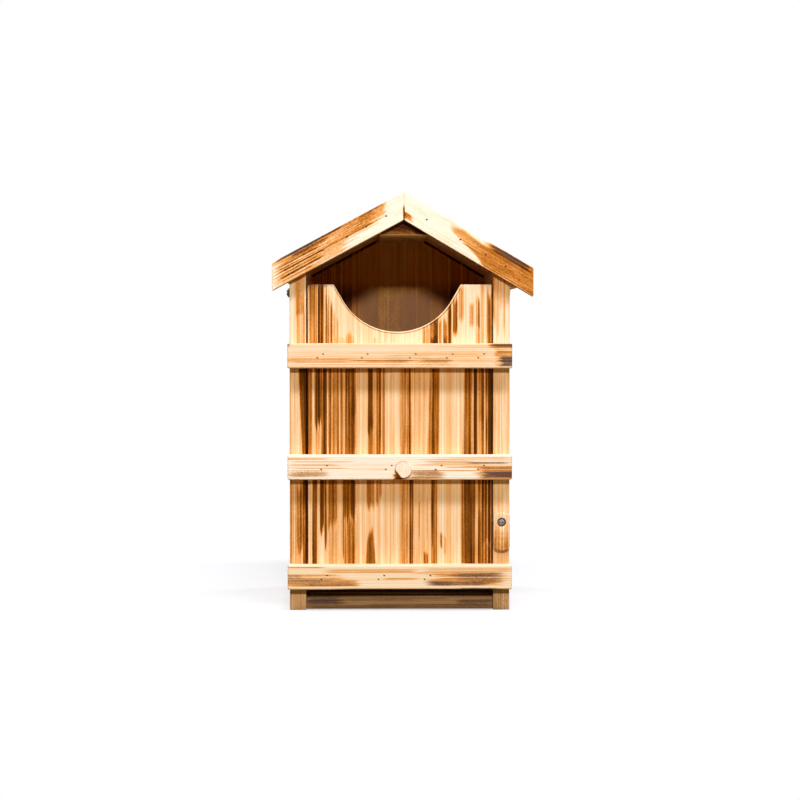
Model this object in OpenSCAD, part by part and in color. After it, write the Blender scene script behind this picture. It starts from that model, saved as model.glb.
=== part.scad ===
// Owl nest box: a tall pine box with a gabled roof.
// Its front is a ledged door, cut away at the top for the birds, that swings up on two pivot screws.
// A wooden turn button on the right wall holds the door shut.
// X runs to the right, Y to the back and Z up, in millimetres.

/* [Walls] */
// Width over both side walls
body_w = 266; // [220:1:340]
// Depth of the side walls, from front edge to rear edge
body_d = 250; // [180:1:360]
// Height of the left wall at its outer face
wall_h = 400; // [340:1:520]
// Thickness of a side wall
wall_t = 20; // [16:0.5:26]
// Thickness of the back wall
back_t = 20; // [12:0.5:30]
// Thickness of the floor board
floor_t = 20; // [14:0.5:28]
// Distance from the wall fronts back to the front edge of the floor board
floor_recess = 9; // [2:0.5:20]

/* [Roof] */
// Slope of the left half of the roof, in degrees
left_pitch = 28.2; // [24:0.1:34]
// Slope of the right half of the roof, in degrees
right_pitch = 30.6; // [24:0.1:34]
// Distance of the ridge to the right of the middle of the box
ridge_x = 5; // [-15:0.5:15]
// Thickness of a roof panel
roof_t = 20; // [12:0.5:26]
// Reach of the left roof panel past the left wall, along its underside
left_eave = 6; // [2:0.5:20]
// Reach of the right roof panel past the right wall, along its underside
right_eave = 13; // [2:0.5:25]
// Width of the ridge beam
ridge_beam_w = 58; // [40:1:90]
// Height of the ridge beam's lower side, from its flat underside up to the roof
ridge_beam_side_h = 3.4; // [2:0.2:30]

/* [Bargeboards] */
// Width of a bargeboard, square to its edges
barge_w = 29.7; // [24:0.1:45]
// Thickness of a bargeboard
barge_t = 15; // [10:0.5:22]
// Distance that a bargeboard hangs below the underside of the roof
barge_drop = 3; // [0:0.5:8]
// Reach of the left bargeboard past the left wall
left_barge_reach = 20.5; // [16:0.5:40]
// Reach of the right bargeboard past the right wall
right_barge_reach = 27.6; // [24:0.1:45]

/* [Door] */
// Thickness of the door panel
door_t = 15; // [12:0.5:22]
// Distance from the top of the left wall down to the top of the door
door_head = 6; // [3:0.5:20]
// Clearance on each side of the door panel
door_side_gap = 2; // [1:0.1:5]
// Clearance between the floor board and the door panel
door_floor_gap = 6.5; // [1:0.5:8]
// Clearance between the battens and the wall fronts that they close against
door_seat_gap = 0.4; // [0.2:0.1:1.5]
// Depth of the entry below the top of the door
entry_depth = 57; // [48:0.5:80]
// Radius of the round bottom of the entry
entry_r = 76; // [60:1:90]
// Lean of the entry's straight sides from upright, in degrees
entry_lean = 30; // [22:1:34]
// Distance of the entry to the right of the middle of the box
entry_x = -3; // [-10:0.5:10]

/* [Battens and knob] */
// Height of a batten
batten_h = 30; // [24:0.5:44]
// Thickness of a batten
batten_t = 18; // [10:0.5:22]
// Reach of a batten past the outer face of each wall
batten_reach = 2; // [0:0.5:10]
// Distance from the bottom of the entry down to the top batten
batten_below_entry = 14; // [8:0.5:40]
// Diameter of the knob
knob_d = 20; // [14:0.5:24]
// Distance that the knob stands out of the batten
knob_out = 5; // [3:0.5:40]
// Distance of the knob to the right of the middle of the box
knob_x = 4; // [0:0.5:10]
// Distance of the knob below the middle of its batten
knob_drop = 2.5; // [0:0.5:2.5]

/* [Turn button] */
// Length of the turn button
button_l = 46.5; // [38:0.5:60]
// Width of the turn button
button_w = 19.5; // [16:0.5:26]
// Thickness of the turn button
button_t = 10; // [7:0.5:16]
// Radius of the turn button's round ends
button_end_r = 18; // [14:0.5:40]
// Distance from the upper end of the turn button down to its screw
button_screw_inset = 12; // [9:0.5:18]
// Height of the turn button's screw above the bottom batten
button_rise = 50.5; // [44:0.5:70]

/* [Screws and nails] */
// Diameter of a pivot screw's shank
pivot_d = 5; // [4:0.1:7]
// Diameter of a pivot screw's head
pivot_head_d = 12; // [9:0.5:16]
// Height of a pivot screw's head
pivot_head_h = 4; // [2.5:0.1:6]
// Depth of the right pivot screw's head below the face of the wall
right_pivot_sink = 2.8; // [0:0.1:4]
// Length of a pivot screw inside the door panel
pivot_bite = 16; // [10:0.5:24]
// Distance from the top of the door down to the pivot screws
pivot_drop = 10; // [8:0.5:16]
// Diameter of the turn button's screw
screw_d = 4; // [3:0.1:5]
// Diameter of the turn button's screw head
screw_head_d = 9.6; // [8:0.1:12]
// Height of the turn button's screw head
screw_head_h = 3; // [2:0.1:4]
// Length of the turn button's screw inside the wall
screw_bite = 25; // [15:0.5:40]
// Diameter of a nail
nail_d = 2; // [1.4:0.1:3]
// Length of a nail inside the piece that it is driven into
nail_bite = 9; // [5:0.5:10]
// Depth of a nail's head below the surface
nail_set = 0.5; // [0:0.1:1.5]
// Distance across between the nails of a pair
nail_pair_w = 7; // [4:0.5:9]
// Distance up between the nails of a pair
nail_pair_h = 4.6; // [2:0.2:8]

/* [Hidden] */
$fn = 64;

// Overrun of every cut past the face that it opens
overrun = 1;
// Radial clearance of a piece that is fixed in its hole
fixed_gap = 0.02;
// Radial clearance of a piece that turns on a screw
turning_gap = 0.05;
// Clearance between the turn button and what it turns across
button_gap = 0.4;
// Clearance at the blind end of a hole
hole_end_gap = 1;

// Places of the nail pairs, as shares of the door panel's width from its middle
top_nail_shares = [-0.43, -0.19, 0.07, 0.27, 0.44];
middle_nail_shares = [-0.41, -0.06, 0.21, 0.44];
bottom_nail_shares = [-0.41, -0.10, 0.15];
// Places of the bargeboard nails, as shares of the way from the ridge to the board's end
left_barge_nail_shares = [0.135, 0.285, 0.43, 0.615, 0.84];
right_barge_nail_shares = [0.175, 0.435, 0.63, 0.785];
// Height of the bargeboard nails, as a share of the board's plumb height
barge_nail_height_share = 0.48;
// Height of the middle batten, as a share of the way from the bottom batten to the top one
middle_batten_share = 0.497;
// Cross recess of a screw head, as shares of the head's diameter and height
cross_length_share = 0.56;
cross_width_share = 0.14;
cross_depth_share = 0.5;

// Inside of the box
half_w = body_w / 2;
inner_half_w = half_w - wall_t;
back_face_y = body_d - back_t;

// Underside of the roof at a distance x from the middle of the box
ridge_z = wall_h + (half_w + ridge_x) * tan(left_pitch);
function roof_under(x) = ridge_z - (x < ridge_x ? tan(left_pitch) : tan(right_pitch)) * abs(x - ridge_x);

// Bargeboards from the ridge to their plumb-cut ends
left_barge_x = -half_w - left_barge_reach;
right_barge_x = half_w + right_barge_reach;
left_barge_plumb = barge_w / cos(left_pitch);
right_barge_plumb = barge_w / cos(right_pitch);

// Door panel and its entry
door_w = 2 * (inner_half_w - door_side_gap);
door_bottom = floor_t + door_floor_gap;
door_top = wall_h - door_head;
door_front_y = -door_seat_gap;
entry_bottom = door_top - entry_depth;
entry_centre_z = entry_bottom + entry_r;
entry_tangent_half_w = entry_r * cos(entry_lean);
entry_tangent_z = entry_centre_z - entry_r * sin(entry_lean);
entry_cut_top = door_top + overrun;
entry_cut_half_w = entry_tangent_half_w + (entry_cut_top - entry_tangent_z) * tan(entry_lean);
pivot_y = door_front_y + door_t / 2;
pivot_z = door_top - pivot_drop;

// Battens, by the height of their lower edges
batten_front_y = door_front_y - batten_t;
bottom_batten_z = door_bottom;
top_batten_z = entry_bottom - batten_below_entry - batten_h;
middle_batten_z = bottom_batten_z + middle_batten_share * (top_batten_z - bottom_batten_z);
knob_z = middle_batten_z + batten_h / 2 - knob_drop;

// Turn button on the right wall
button_x = half_w - wall_t / 2;
button_z = bottom_batten_z + batten_h + button_rise;
button_back_y = door_front_y - button_gap;
button_front_y = button_back_y - button_t;
button_end_sag = button_end_r - sqrt(pow(button_end_r, 2) - pow(button_w / 2, 2));
screw_seat_d = screw_head_d + 2 * button_gap;
screw_seat_depth = screw_head_h - button_gap;
screw_head_y = button_front_y + screw_seat_depth - button_gap;

// Middle of the whole box, which stands over the origin
middle_x = (left_barge_x + right_barge_x) / 2;
middle_y = (body_d + batten_front_y - knob_out) / 2;

pine = "#e8c48c";
scorched = "#a8622c";
dark_pine = "#7a5230";
steel = "#8c8c8a";

// Moves a piece from the box's own middle to the origin
module placed() {
    translate([-middle_x, -middle_y, 0])
        children();
}

// Extrudes an outline drawn in X and Z from one depth to another
module upright(from_y, to_y) {
    translate([0, to_y, 0])
        rotate([90, 0, 0])
            linear_extrude(to_y - from_y)
                children();
}

// A round bar along Y
module bar_y(x, z, d, from_y, to_y) {
    translate([x, from_y, z])
        rotate([-90, 0, 0])
            cylinder(d = d, h = to_y - from_y);
}

// A round bar along X
module bar_x(y, z, d, from_x, to_x) {
    translate([from_x, y, z])
        rotate([0, 90, 0])
            cylinder(d = d, h = to_x - from_x);
}

// A screw along Z: its domed head lies below zero and its shank above
module screw(d, l, head_d, head_h) {
    dome_r = (pow(head_d / 2, 2) + pow(head_h, 2)) / (2 * head_h);
    cross_l = head_d * cross_length_share;
    cross_w = head_d * cross_width_share;
    cross_h = head_h * cross_depth_share;
    cylinder(d = d, h = l);
    difference() {
        rotate_extrude()
            intersection() {
                translate([0, dome_r - head_h])
                    circle(dome_r);
                translate([0, -head_h])
                    square([head_d / 2, head_h]);
            }
        for (turn = [0, 90])
            rotate(turn)
                translate([-cross_l / 2, -cross_w / 2, -head_h - overrun])
                    cube([cross_l, cross_w, cross_h + overrun]);
    }
}

// The nail pairs of one batten, thicker by a gap when they are used as holes
module batten_nails_at(shares, z, gap, from_y, to_y) {
    for (share = shares, side = [-1, 1])
        bar_y(
            share * door_w + side * nail_pair_w / 2,
            z + batten_h / 2 + side * nail_pair_h / 2,
            nail_d + 2 * gap, from_y, to_y
        );
}

module batten_nails(shares, z) {
    placed()
        batten_nails_at(shares, z, 0, batten_front_y + nail_set, door_front_y + nail_bite);
}

module batten_nail_holes(shares, z) {
    batten_nails_at(shares, z, fixed_gap, batten_front_y - overrun, door_front_y + nail_bite);
}

module batten(shares, z) {
    placed()
        difference() {
            translate([-half_w - batten_reach, batten_front_y, z])
                cube([body_w + 2 * batten_reach, batten_t, batten_h]);
            batten_nail_holes(shares, z);
            children();
        }
}

// The nails of one bargeboard, from the ridge towards its end
module barge_nails_at(shares, end_x, plumb, gap, from_y, to_y) {
    for (share = shares)
        let (x = ridge_x + share * (end_x - ridge_x))
            bar_y(
                x, roof_under(x) - barge_drop + plumb * barge_nail_height_share,
                nail_d + 2 * gap, from_y, to_y
            );
}

module barge_nails(shares, end_x, plumb) {
    placed()
        barge_nails_at(shares, end_x, plumb, 0, -barge_t + nail_set, nail_bite);
}

module barge_nail_holes(shares, end_x, plumb) {
    barge_nails_at(shares, end_x, plumb, fixed_gap, -barge_t - overrun, nail_bite);
}

// A side wall between two distances from the middle, cut to the slope of the roof
module side_wall(from_x, to_x) {
    upright(0, body_d)
        polygon([
            [from_x, 0],
            [to_x, 0],
            [to_x, roof_under(to_x)],
            [from_x, roof_under(from_x)]
        ]);
}

// A roof panel from the ridge to the lower corner of its square-cut eave
module roof_panel(eave_x, pitch) {
    lean = sign(eave_x) * roof_t * sin(pitch);
    upright(0, body_d)
        polygon([
            [ridge_x, ridge_z],
            [eave_x, roof_under(eave_x)],
            [eave_x + lean, roof_under(eave_x) + roof_t * cos(pitch)],
            [ridge_x, ridge_z + roof_t / cos(pitch)]
        ]);
}

module bargeboard(end_x, plumb) {
    foot_z = roof_under(end_x) - barge_drop;
    upright(-barge_t, 0)
        polygon([
            [ridge_x, ridge_z - barge_drop],
            [end_x, foot_z],
            [end_x, foot_z + plumb],
            [ridge_x, ridge_z - barge_drop + plumb]
        ]);
}

module left_side_wall() {
    color(pine)
        placed()
            difference() {
                side_wall(-half_w, -inner_half_w);
                bar_x(
                    pivot_y, pivot_z, pivot_d + 2 * fixed_gap,
                    -half_w - overrun, -inner_half_w + overrun
                );
            }
}

module right_side_wall() {
    color(pine)
        placed()
            difference() {
                side_wall(inner_half_w, half_w);
                bar_x(
                    pivot_y, pivot_z, pivot_d + 2 * fixed_gap,
                    inner_half_w - overrun, half_w + overrun
                );
                bar_x(
                    pivot_y, pivot_z, pivot_head_d + 2 * fixed_gap,
                    half_w - right_pivot_sink, half_w + overrun
                );
                bar_y(
                    button_x, button_z, screw_d + 2 * fixed_gap,
                    -overrun, screw_bite + hole_end_gap
                );
            }
}

module back_wall() {
    color(dark_pine)
        placed()
            upright(back_face_y, body_d)
                polygon([
                    [-inner_half_w, 0],
                    [inner_half_w, 0],
                    [inner_half_w, roof_under(inner_half_w)],
                    [ridge_x, ridge_z],
                    [-inner_half_w, roof_under(-inner_half_w)]
                ]);
}

module floor_board() {
    color(dark_pine)
        placed()
            translate([-inner_half_w, floor_recess, 0])
                cube([2 * inner_half_w, back_face_y - floor_recess, floor_t]);
}

module left_roof_panel() {
    color(pine)
        placed()
            difference() {
                roof_panel(-half_w - left_eave, left_pitch);
                barge_nail_holes(left_barge_nail_shares, left_barge_x, left_barge_plumb);
            }
}

module right_roof_panel() {
    color(pine)
        placed()
            difference() {
                roof_panel(half_w + right_eave, right_pitch);
                barge_nail_holes(right_barge_nail_shares, right_barge_x, right_barge_plumb);
            }
}

module ridge_beam() {
    left_x = ridge_x - ridge_beam_w / 2;
    right_x = ridge_x + ridge_beam_w / 2;
    beam_bottom = min(roof_under(left_x), roof_under(right_x)) - ridge_beam_side_h;
    color(dark_pine)
        placed()
            upright(0, back_face_y)
                polygon([
                    [left_x, beam_bottom],
                    [right_x, beam_bottom],
                    [right_x, roof_under(right_x)],
                    [ridge_x, ridge_z],
                    [left_x, roof_under(left_x)]
                ]);
}

module left_bargeboard() {
    color(scorched)
        placed()
            difference() {
                bargeboard(left_barge_x, left_barge_plumb);
                barge_nail_holes(left_barge_nail_shares, left_barge_x, left_barge_plumb);
            }
}

module right_bargeboard() {
    color(pine)
        placed()
            difference() {
                bargeboard(right_barge_x, right_barge_plumb);
                barge_nail_holes(right_barge_nail_shares, right_barge_x, right_barge_plumb);
            }
}

module left_bargeboard_nails() {
    color(steel)
        barge_nails(left_barge_nail_shares, left_barge_x, left_barge_plumb);
}

module right_bargeboard_nails() {
    color(steel)
        barge_nails(right_barge_nail_shares, right_barge_x, right_barge_plumb);
}

// A pivot screw whose head lies a depth below the face of its wall
module pivot_screw(sink) {
    translate([0, 0, sink])
        screw(pivot_d, wall_t - sink + door_side_gap + pivot_bite, pivot_head_d, pivot_head_h);
}

module left_pivot_screw() {
    color(steel)
        placed()
            translate([-half_w, pivot_y, pivot_z])
                rotate([0, 90, 0])
                    pivot_screw(0);
}

module right_pivot_screw() {
    color(steel)
        placed()
            translate([half_w, pivot_y, pivot_z])
                rotate([0, -90, 0])
                    pivot_screw(right_pivot_sink);
}

module button_screw() {
    color(steel)
        placed()
            translate([button_x, screw_head_y, button_z])
                rotate([-90, 0, 0])
                    screw(screw_d, screw_bite - screw_head_y, screw_head_d, screw_head_h);
}

// The panel's outline, with the entry cut out of its top edge
module door_outline() {
    difference() {
        translate([-door_w / 2, door_bottom])
            square([door_w, door_top - door_bottom]);
        translate([entry_x, entry_centre_z])
            circle(entry_r, $fn = 128);
        polygon([
            [entry_x - entry_tangent_half_w, entry_tangent_z],
            [entry_x + entry_tangent_half_w, entry_tangent_z],
            [entry_x + entry_cut_half_w, entry_cut_top],
            [entry_x - entry_cut_half_w, entry_cut_top]
        ]);
    }
}

module door_panel() {
    pivot_hole_d = pivot_d + 2 * turning_gap;
    pivot_hole_x = door_w / 2 - pivot_bite - hole_end_gap;
    color(pine)
        placed()
            difference() {
                upright(door_front_y, door_front_y + door_t)
                    door_outline();
                bar_x(pivot_y, pivot_z, pivot_hole_d, -door_w / 2 - overrun, -pivot_hole_x);
                bar_x(pivot_y, pivot_z, pivot_hole_d, pivot_hole_x, door_w / 2 + overrun);
                batten_nail_holes(top_nail_shares, top_batten_z);
                batten_nail_holes(middle_nail_shares, middle_batten_z);
                batten_nail_holes(bottom_nail_shares, bottom_batten_z);
            }
}

module top_batten() {
    color(pine)
        batten(top_nail_shares, top_batten_z);
}

module middle_batten() {
    color(pine)
        batten(middle_nail_shares, middle_batten_z)
            bar_y(
                knob_x, knob_z, knob_d + 2 * fixed_gap,
                batten_front_y - overrun, door_front_y + overrun
            );
}

module bottom_batten() {
    color(pine)
        batten(bottom_nail_shares, bottom_batten_z);
}

module top_batten_nails() {
    color(steel)
        batten_nails(top_nail_shares, top_batten_z);
}

module middle_batten_nails() {
    color(steel)
        batten_nails(middle_nail_shares, middle_batten_z);
}

module bottom_batten_nails() {
    color(steel)
        batten_nails(bottom_nail_shares, bottom_batten_z);
}

module door_knob() {
    color(pine)
        placed()
            bar_y(knob_x, knob_z, knob_d, batten_front_y - knob_out, door_front_y);
}

// The turn button's outline, with its screw at the origin
module button_outline() {
    top_z = button_screw_inset;
    bottom_z = button_screw_inset - button_l;
    translate([-button_w / 2, bottom_z + button_end_sag])
        square([button_w, button_l - 2 * button_end_sag]);
    intersection() {
        translate([0, top_z - button_end_r])
            circle(button_end_r, $fn = 128);
        translate([-button_w / 2, 0])
            square([button_w, top_z]);
    }
    intersection() {
        translate([0, bottom_z + button_end_r])
            circle(button_end_r, $fn = 128);
        translate([-button_w / 2, bottom_z])
            square([button_w, -bottom_z]);
    }
}

module turn_button() {
    color(scorched)
        placed()
            difference() {
                translate([button_x, 0, button_z])
                    upright(button_front_y, button_back_y)
                        button_outline();
                bar_y(
                    button_x, button_z, screw_d + 2 * turning_gap,
                    button_front_y - overrun, button_back_y + overrun
                );
                bar_y(
                    button_x, button_z, screw_seat_d,
                    button_front_y - overrun, button_front_y + screw_seat_depth
                );
            }
}

left_side_wall();
right_side_wall();
back_wall();
floor_board();
left_roof_panel();
right_roof_panel();
ridge_beam();
left_bargeboard();
right_bargeboard();
left_bargeboard_nails();
right_bargeboard_nails();
left_pivot_screw();
right_pivot_screw();
button_screw();
door_panel();
top_batten();
middle_batten();
bottom_batten();
top_batten_nails();
middle_batten_nails();
bottom_batten_nails();
door_knob();
turn_button();
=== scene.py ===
import math
import bpy
import numpy as np
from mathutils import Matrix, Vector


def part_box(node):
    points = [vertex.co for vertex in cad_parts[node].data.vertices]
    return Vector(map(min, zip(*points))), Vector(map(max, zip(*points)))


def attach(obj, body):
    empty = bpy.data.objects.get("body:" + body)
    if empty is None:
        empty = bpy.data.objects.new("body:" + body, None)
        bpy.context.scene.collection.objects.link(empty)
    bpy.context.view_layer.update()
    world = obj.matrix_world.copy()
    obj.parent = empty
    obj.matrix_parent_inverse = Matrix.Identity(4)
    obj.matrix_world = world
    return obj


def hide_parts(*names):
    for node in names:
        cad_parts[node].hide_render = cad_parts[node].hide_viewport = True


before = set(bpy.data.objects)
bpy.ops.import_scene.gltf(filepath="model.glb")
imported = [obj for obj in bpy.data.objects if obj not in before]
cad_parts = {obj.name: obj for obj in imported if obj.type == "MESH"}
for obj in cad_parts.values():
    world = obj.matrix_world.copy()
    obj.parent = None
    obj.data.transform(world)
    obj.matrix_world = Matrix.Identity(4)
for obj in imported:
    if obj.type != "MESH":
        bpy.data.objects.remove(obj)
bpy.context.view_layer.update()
scene = bpy.context.scene
mm = 0.001
print("frame loaded with", len(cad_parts), "nodes")


# a new object in the scene
def newObject(name, data):
    made = bpy.data.objects.new(name, data)
    scene.collection.objects.link(made)
    return made


# a new mesh in the scene, whose first faces are shaded smoothly
def newMesh(name, verts, faces, smoothFaces=0):
    mesh = bpy.data.meshes.new(name)
    mesh.from_pydata(verts, [], faces)
    mesh.polygons.foreach_set("use_smooth", [face < smoothFaces for face in range(len(faces))])
    mesh.update()
    return newObject(name, mesh)


# lowest and highest corner of a node's box
def corners(node):
    low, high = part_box(node)
    return np.array(low), np.array(high)


# lines of the box that the pieces share, all read from the frame
leftWallLow, leftWallHigh = corners("left_side_wall")
rightWallLow, rightWallHigh = corners("right_side_wall")
middleX = (leftWallLow[0] + rightWallHigh[0]) / 2  # middle of the box, a little left of the origin
frontY = leftWallLow[1]  # plane of the wall fronts
ridgeX = corners("left_bargeboard")[1][0]
ridgeZ = corners("back_wall")[1][2]  # underside of the roof at the ridge
leftSlope = (ridgeZ - leftWallHigh[2]) / (ridgeX - leftWallHigh[0])
rightSlope = (ridgeZ - rightWallHigh[2]) / (rightWallLow[0] - ridgeX)


# underside of the roof: falls from the ridge by each side's own slope
def roofUnder(x):
    return ridgeZ - np.where(x < ridgeX, (ridgeX - x) * leftSlope, (x - ridgeX) * rightSlope)


# camera: level with the top batten, a little left of the middle, aimed at the middle of the picture
cameraSet = {"back": 2.65, "right": -0.03, "height": 0.34, "aimRight": 0.0004, "aimHeight": 0.2545,
             "millimetresPerPixel": 1.2085, "picturePixels": 800, "sensor": 36.0, "clipEnd": 50}


def makeCamera(spec):
    data = bpy.data.cameras.new("frontCamera")
    camera = newObject("frontCamera", data)
    place = np.array([middleX + spec["right"], frontY - spec["back"], spec["height"]])
    aim = np.array([middleX + spec["aimRight"], frontY, spec["aimHeight"]])
    camera.location = place
    camera.rotation_euler = Vector(aim - place).to_track_quat("-Z", "Y").to_euler()
    widthSeen = spec["millimetresPerPixel"] * mm * spec["picturePixels"]  # metres across at the wall fronts
    data.sensor_width = spec["sensor"]
    data.lens = spec["sensor"] * spec["back"] / widthSeen
    data.clip_end = spec["clipEnd"]
    scene.camera = camera


makeCamera(cameraSet)
print("camera placed")


# smooth step from 0 at low to 1 at high
def smooth(low, high, value):
    share = np.clip((value - low) / (high - low), 0, 1)
    return share * share * (3 - 2 * share)


rippleCount = 256  # heights after which a ripple repeats


# wandering line between -1 and 1: random heights at whole numbers, joined smoothly
def ripple(value, seed):
    heights = np.random.default_rng(seed).uniform(-1, 1, rippleCount)
    whole = np.floor(value).astype(int)
    part = smooth(0, 1, value - whole)
    return heights[whole % rippleCount] * (1 - part) + heights[(whole + 1) % rippleCount] * part


# how torch strokes waver: lengths in metres, ends in mm, and the rest as shares of the stroke's own size.
# Shifts and seeds are for the drift, the fingers and the fade, so that no two waver alike
strokeSet = {"driftLength": 0.09, "drift": 0.06, "fadeLength": 0.032, "fade": 0.14, "gain": 1.13,
             "side": 0.6, "sideMost": 1.0, "fingerWidth": 0.0016, "finger": 0.12, "soft": 0.16, "endMost": 9,
             "shifts": (7.3, 3.1, 5.7), "seeds": (0, 100, 200)}


# scorch of a torch along the grain: each stroke is a straight band with soft sides, whose ends run out in
# short fingers along the fibres and whose depth drifts along it. Strokes are (centre, half width, from, to,
# strength) in mm, and one that tapers adds its centre and half width at the far end
def strokes(across, along, rows, seed):
    burn = np.zeros(across.shape)
    for number, (centre, half, start, stop, strength, *far) in enumerate(rows):
        length = stop - start
        share = np.clip((along / mm - start) / length, 0, 1)
        farCentre, farHalf = far or (centre, half)
        reach = half + (farHalf - half) * share
        driftShift, fingerShift, fadeShift = (number * s for s in strokeSet["shifts"])
        driftSeed, fingerSeed, fadeSeed = (seed + number + s for s in strokeSet["seeds"])
        drift = ripple(along / strokeSet["driftLength"] + driftShift, driftSeed)
        drift = drift * strokeSet["drift"] * half
        off = np.abs(across / mm - centre - (farCentre - centre) * share - drift)
        side = min(strokeSet["sideMost"], strokeSet["side"] * half)
        fingers = ripple(across / strokeSet["fingerWidth"] + fingerShift, fingerSeed)
        place = along / mm + fingers * min(strokeSet["endMost"], strokeSet["finger"] * length)
        soft = min(strokeSet["endMost"], strokeSet["soft"] * length)
        begun = smooth(start - soft, start + soft, place)
        ended = smooth(stop - soft, stop + soft, place)
        fade = ripple(along / strokeSet["fadeLength"] + fadeShift, fadeSeed)
        depth = strokeSet["gain"] * strength * (1 + strokeSet["fade"] * fade)
        burn = np.maximum(burn, depth * begun * (1 - ended) * (1 - smooth(reach - side, reach + side, off)))
    return burn


# strokes where the photograph shows none: half widths in mm, lengths and beginnings as shares of the face
looseSet = {"halves": [1.4, 2.4, 4.0, 7.0], "length": (0.35, 1.2), "early": 0.3, "late": 0.6,
            "strength": (0.35, 0.95)}


# rows for strokes: count bands at random over a width, in the manner of the front
def looseStrokes(count, low, high, start, stop, seed):
    draw = np.random.default_rng(seed)
    rows = []
    for _ in range(count):
        centre = draw.uniform(low, high)
        half = draw.choice(looseSet["halves"])
        length = (stop - start) * draw.uniform(*looseSet["length"])
        begin = draw.uniform(start - looseSet["early"] * length, stop - looseSet["late"] * length)
        rows.append((centre, half, begin, begin + length, draw.uniform(*looseSet["strength"])))
    return rows


arcParts = 4  # parts of each quarter-round edge


# outline of a rectangle with quarter-round corners, and the outward direction at each of its points
def easedOutline(lowA, highA, lowB, highB, ease, stepA, stepB):
    turn = np.linspace(0, np.pi / 2, arcParts + 1)
    sides = [(highA - ease, lowB + ease, highB - ease, 0, stepB),
             (highB - ease, highA - ease, lowA + ease, 1, stepA),
             (lowA + ease, highB - ease, lowB + ease, 2, stepB),
             (lowB + ease, lowA + ease, highA - ease, 3, stepA)]
    points, outward = [], []
    for fixed, begin, end, side, step in sides:
        count = max(2, int(math.ceil(abs(end - begin) / step)) + 1)
        run = np.linspace(begin, end, count)
        still = np.full(count, fixed)
        away = np.array([(1, 0), (0, 1), (-1, 0), (0, -1)][side], float)
        flat = np.stack([still, run] if side in (0, 2) else [run, still], 1)
        points.append(flat + away * ease)
        outward.append(np.tile(away, (count, 1)))
        angle = turn[1:-1] + side * np.pi / 2  # round corner at the end of this side
        bend = np.stack([np.cos(angle), np.sin(angle)], 1)
        points.append(flat[-1] + bend * ease)
        outward.append(bend)
    return np.concatenate(points), np.concatenate(outward)


# places along a board: even steps between its eased ends, with some places kept exactly
def stations(low, high, ease, step, kept=()):
    inner = np.linspace(low + ease, high - ease, max(2, int(math.ceil((high - low) / step))))
    wanted = [k for k in kept if low + ease < k < high - ease]
    return np.unique(np.concatenate([inner, wanted]))


# faces of a skin of rings: each ring is joined to the next by quads, all the way round
def ringFaces(rings, points):
    ring, point = np.meshgrid(np.arange(rings - 1), np.arange(points), indexing="ij")
    after = (point + 1) % points
    return np.stack([ring * points + point, ring * points + after,
                     (ring + 1) * points + after, (ring + 1) * points + point], -1).reshape(-1, 4)


# flat caps on the first and the last ring
def ringCaps(rings, points):
    return [np.arange(points)[::-1], np.arange(points) + (rings - 1) * points]


# volume by the sum of signed tetrahedra; below zero the skin is inside out
def signedVolume(verts, quads, caps):
    corner = verts[quads]
    total = np.einsum("ij,ij->", corner[:, 0], np.cross(corner[:, 1], corner[:, 2]))
    total += np.einsum("ij,ij->", corner[:, 0], np.cross(corner[:, 2], corner[:, 3]))
    for cap in caps:
        ends = verts[cap]
        total += np.einsum("ij,ij->", np.repeat(ends[:1], len(ends) - 2, 0), np.cross(ends[1:-1], ends[2:]))
    return total


# closed skin of a grid of rings and their points, turned outwards
def skinObject(name, grid, capped=True):
    rings, points = grid.shape[:2]
    verts = grid.reshape(-1, 3)
    quads = ringFaces(rings, points)
    caps = ringCaps(rings, points) if capped else []
    if signedVolume(verts, quads, caps) < 0:
        quads = quads[:, ::-1]
        caps = [cap[::-1] for cap in caps]
    faces = quads.tolist() + [cap.tolist() for cap in caps]
    return newMesh(name, verts.tolist(), faces, len(quads)), verts


# values that the mesh carries at its points, for the material to read
def tint(piece, name, values):
    layer = piece.data.attributes.new(name, "FLOAT", "POINT")
    layer.data.foreach_set("value", np.asarray(values, np.float32).ravel())


# a board: its eased outline carried from one end to the other, drawn in by the ease at both ends.
# run is the axis that it is carried along, and shape bends the straight board into its real form
def board(spec):
    low, high = (np.array(c) for c in (spec["low"], spec["high"]))
    run = spec["run"]
    a, b = [k for k in range(3) if k != run]
    ease = spec["ease"] * mm
    step = np.array(spec["step"]) * mm
    outline, outward = easedOutline(low[a], high[a], low[b], high[b], ease, step[a], step[b])
    turn = np.linspace(np.pi / 2, 0, arcParts + 1)[:-1]
    middle = stations(low[run], high[run], ease, step[run], spec.get("kept", ()))
    endIn = ease * (1 - np.sin(turn))
    places = np.concatenate([low[run] + endIn, middle, high[run] - endIn[::-1]])
    drawIn = ease * np.concatenate([1 - np.cos(turn), np.zeros(len(middle)), 1 - np.cos(turn[::-1])])
    grid = np.empty((len(places), len(outline), 3))
    grid[:, :, run] = places[:, None]
    ring = outline[None] - drawIn[:, None, None] * outward[None]
    grid[:, :, a] = ring[:, :, 0]
    grid[:, :, b] = ring[:, :, 1]
    if "shape" in spec:
        grid = spec["shape"](grid)
    return skinObject(spec["name"], grid)


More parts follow.
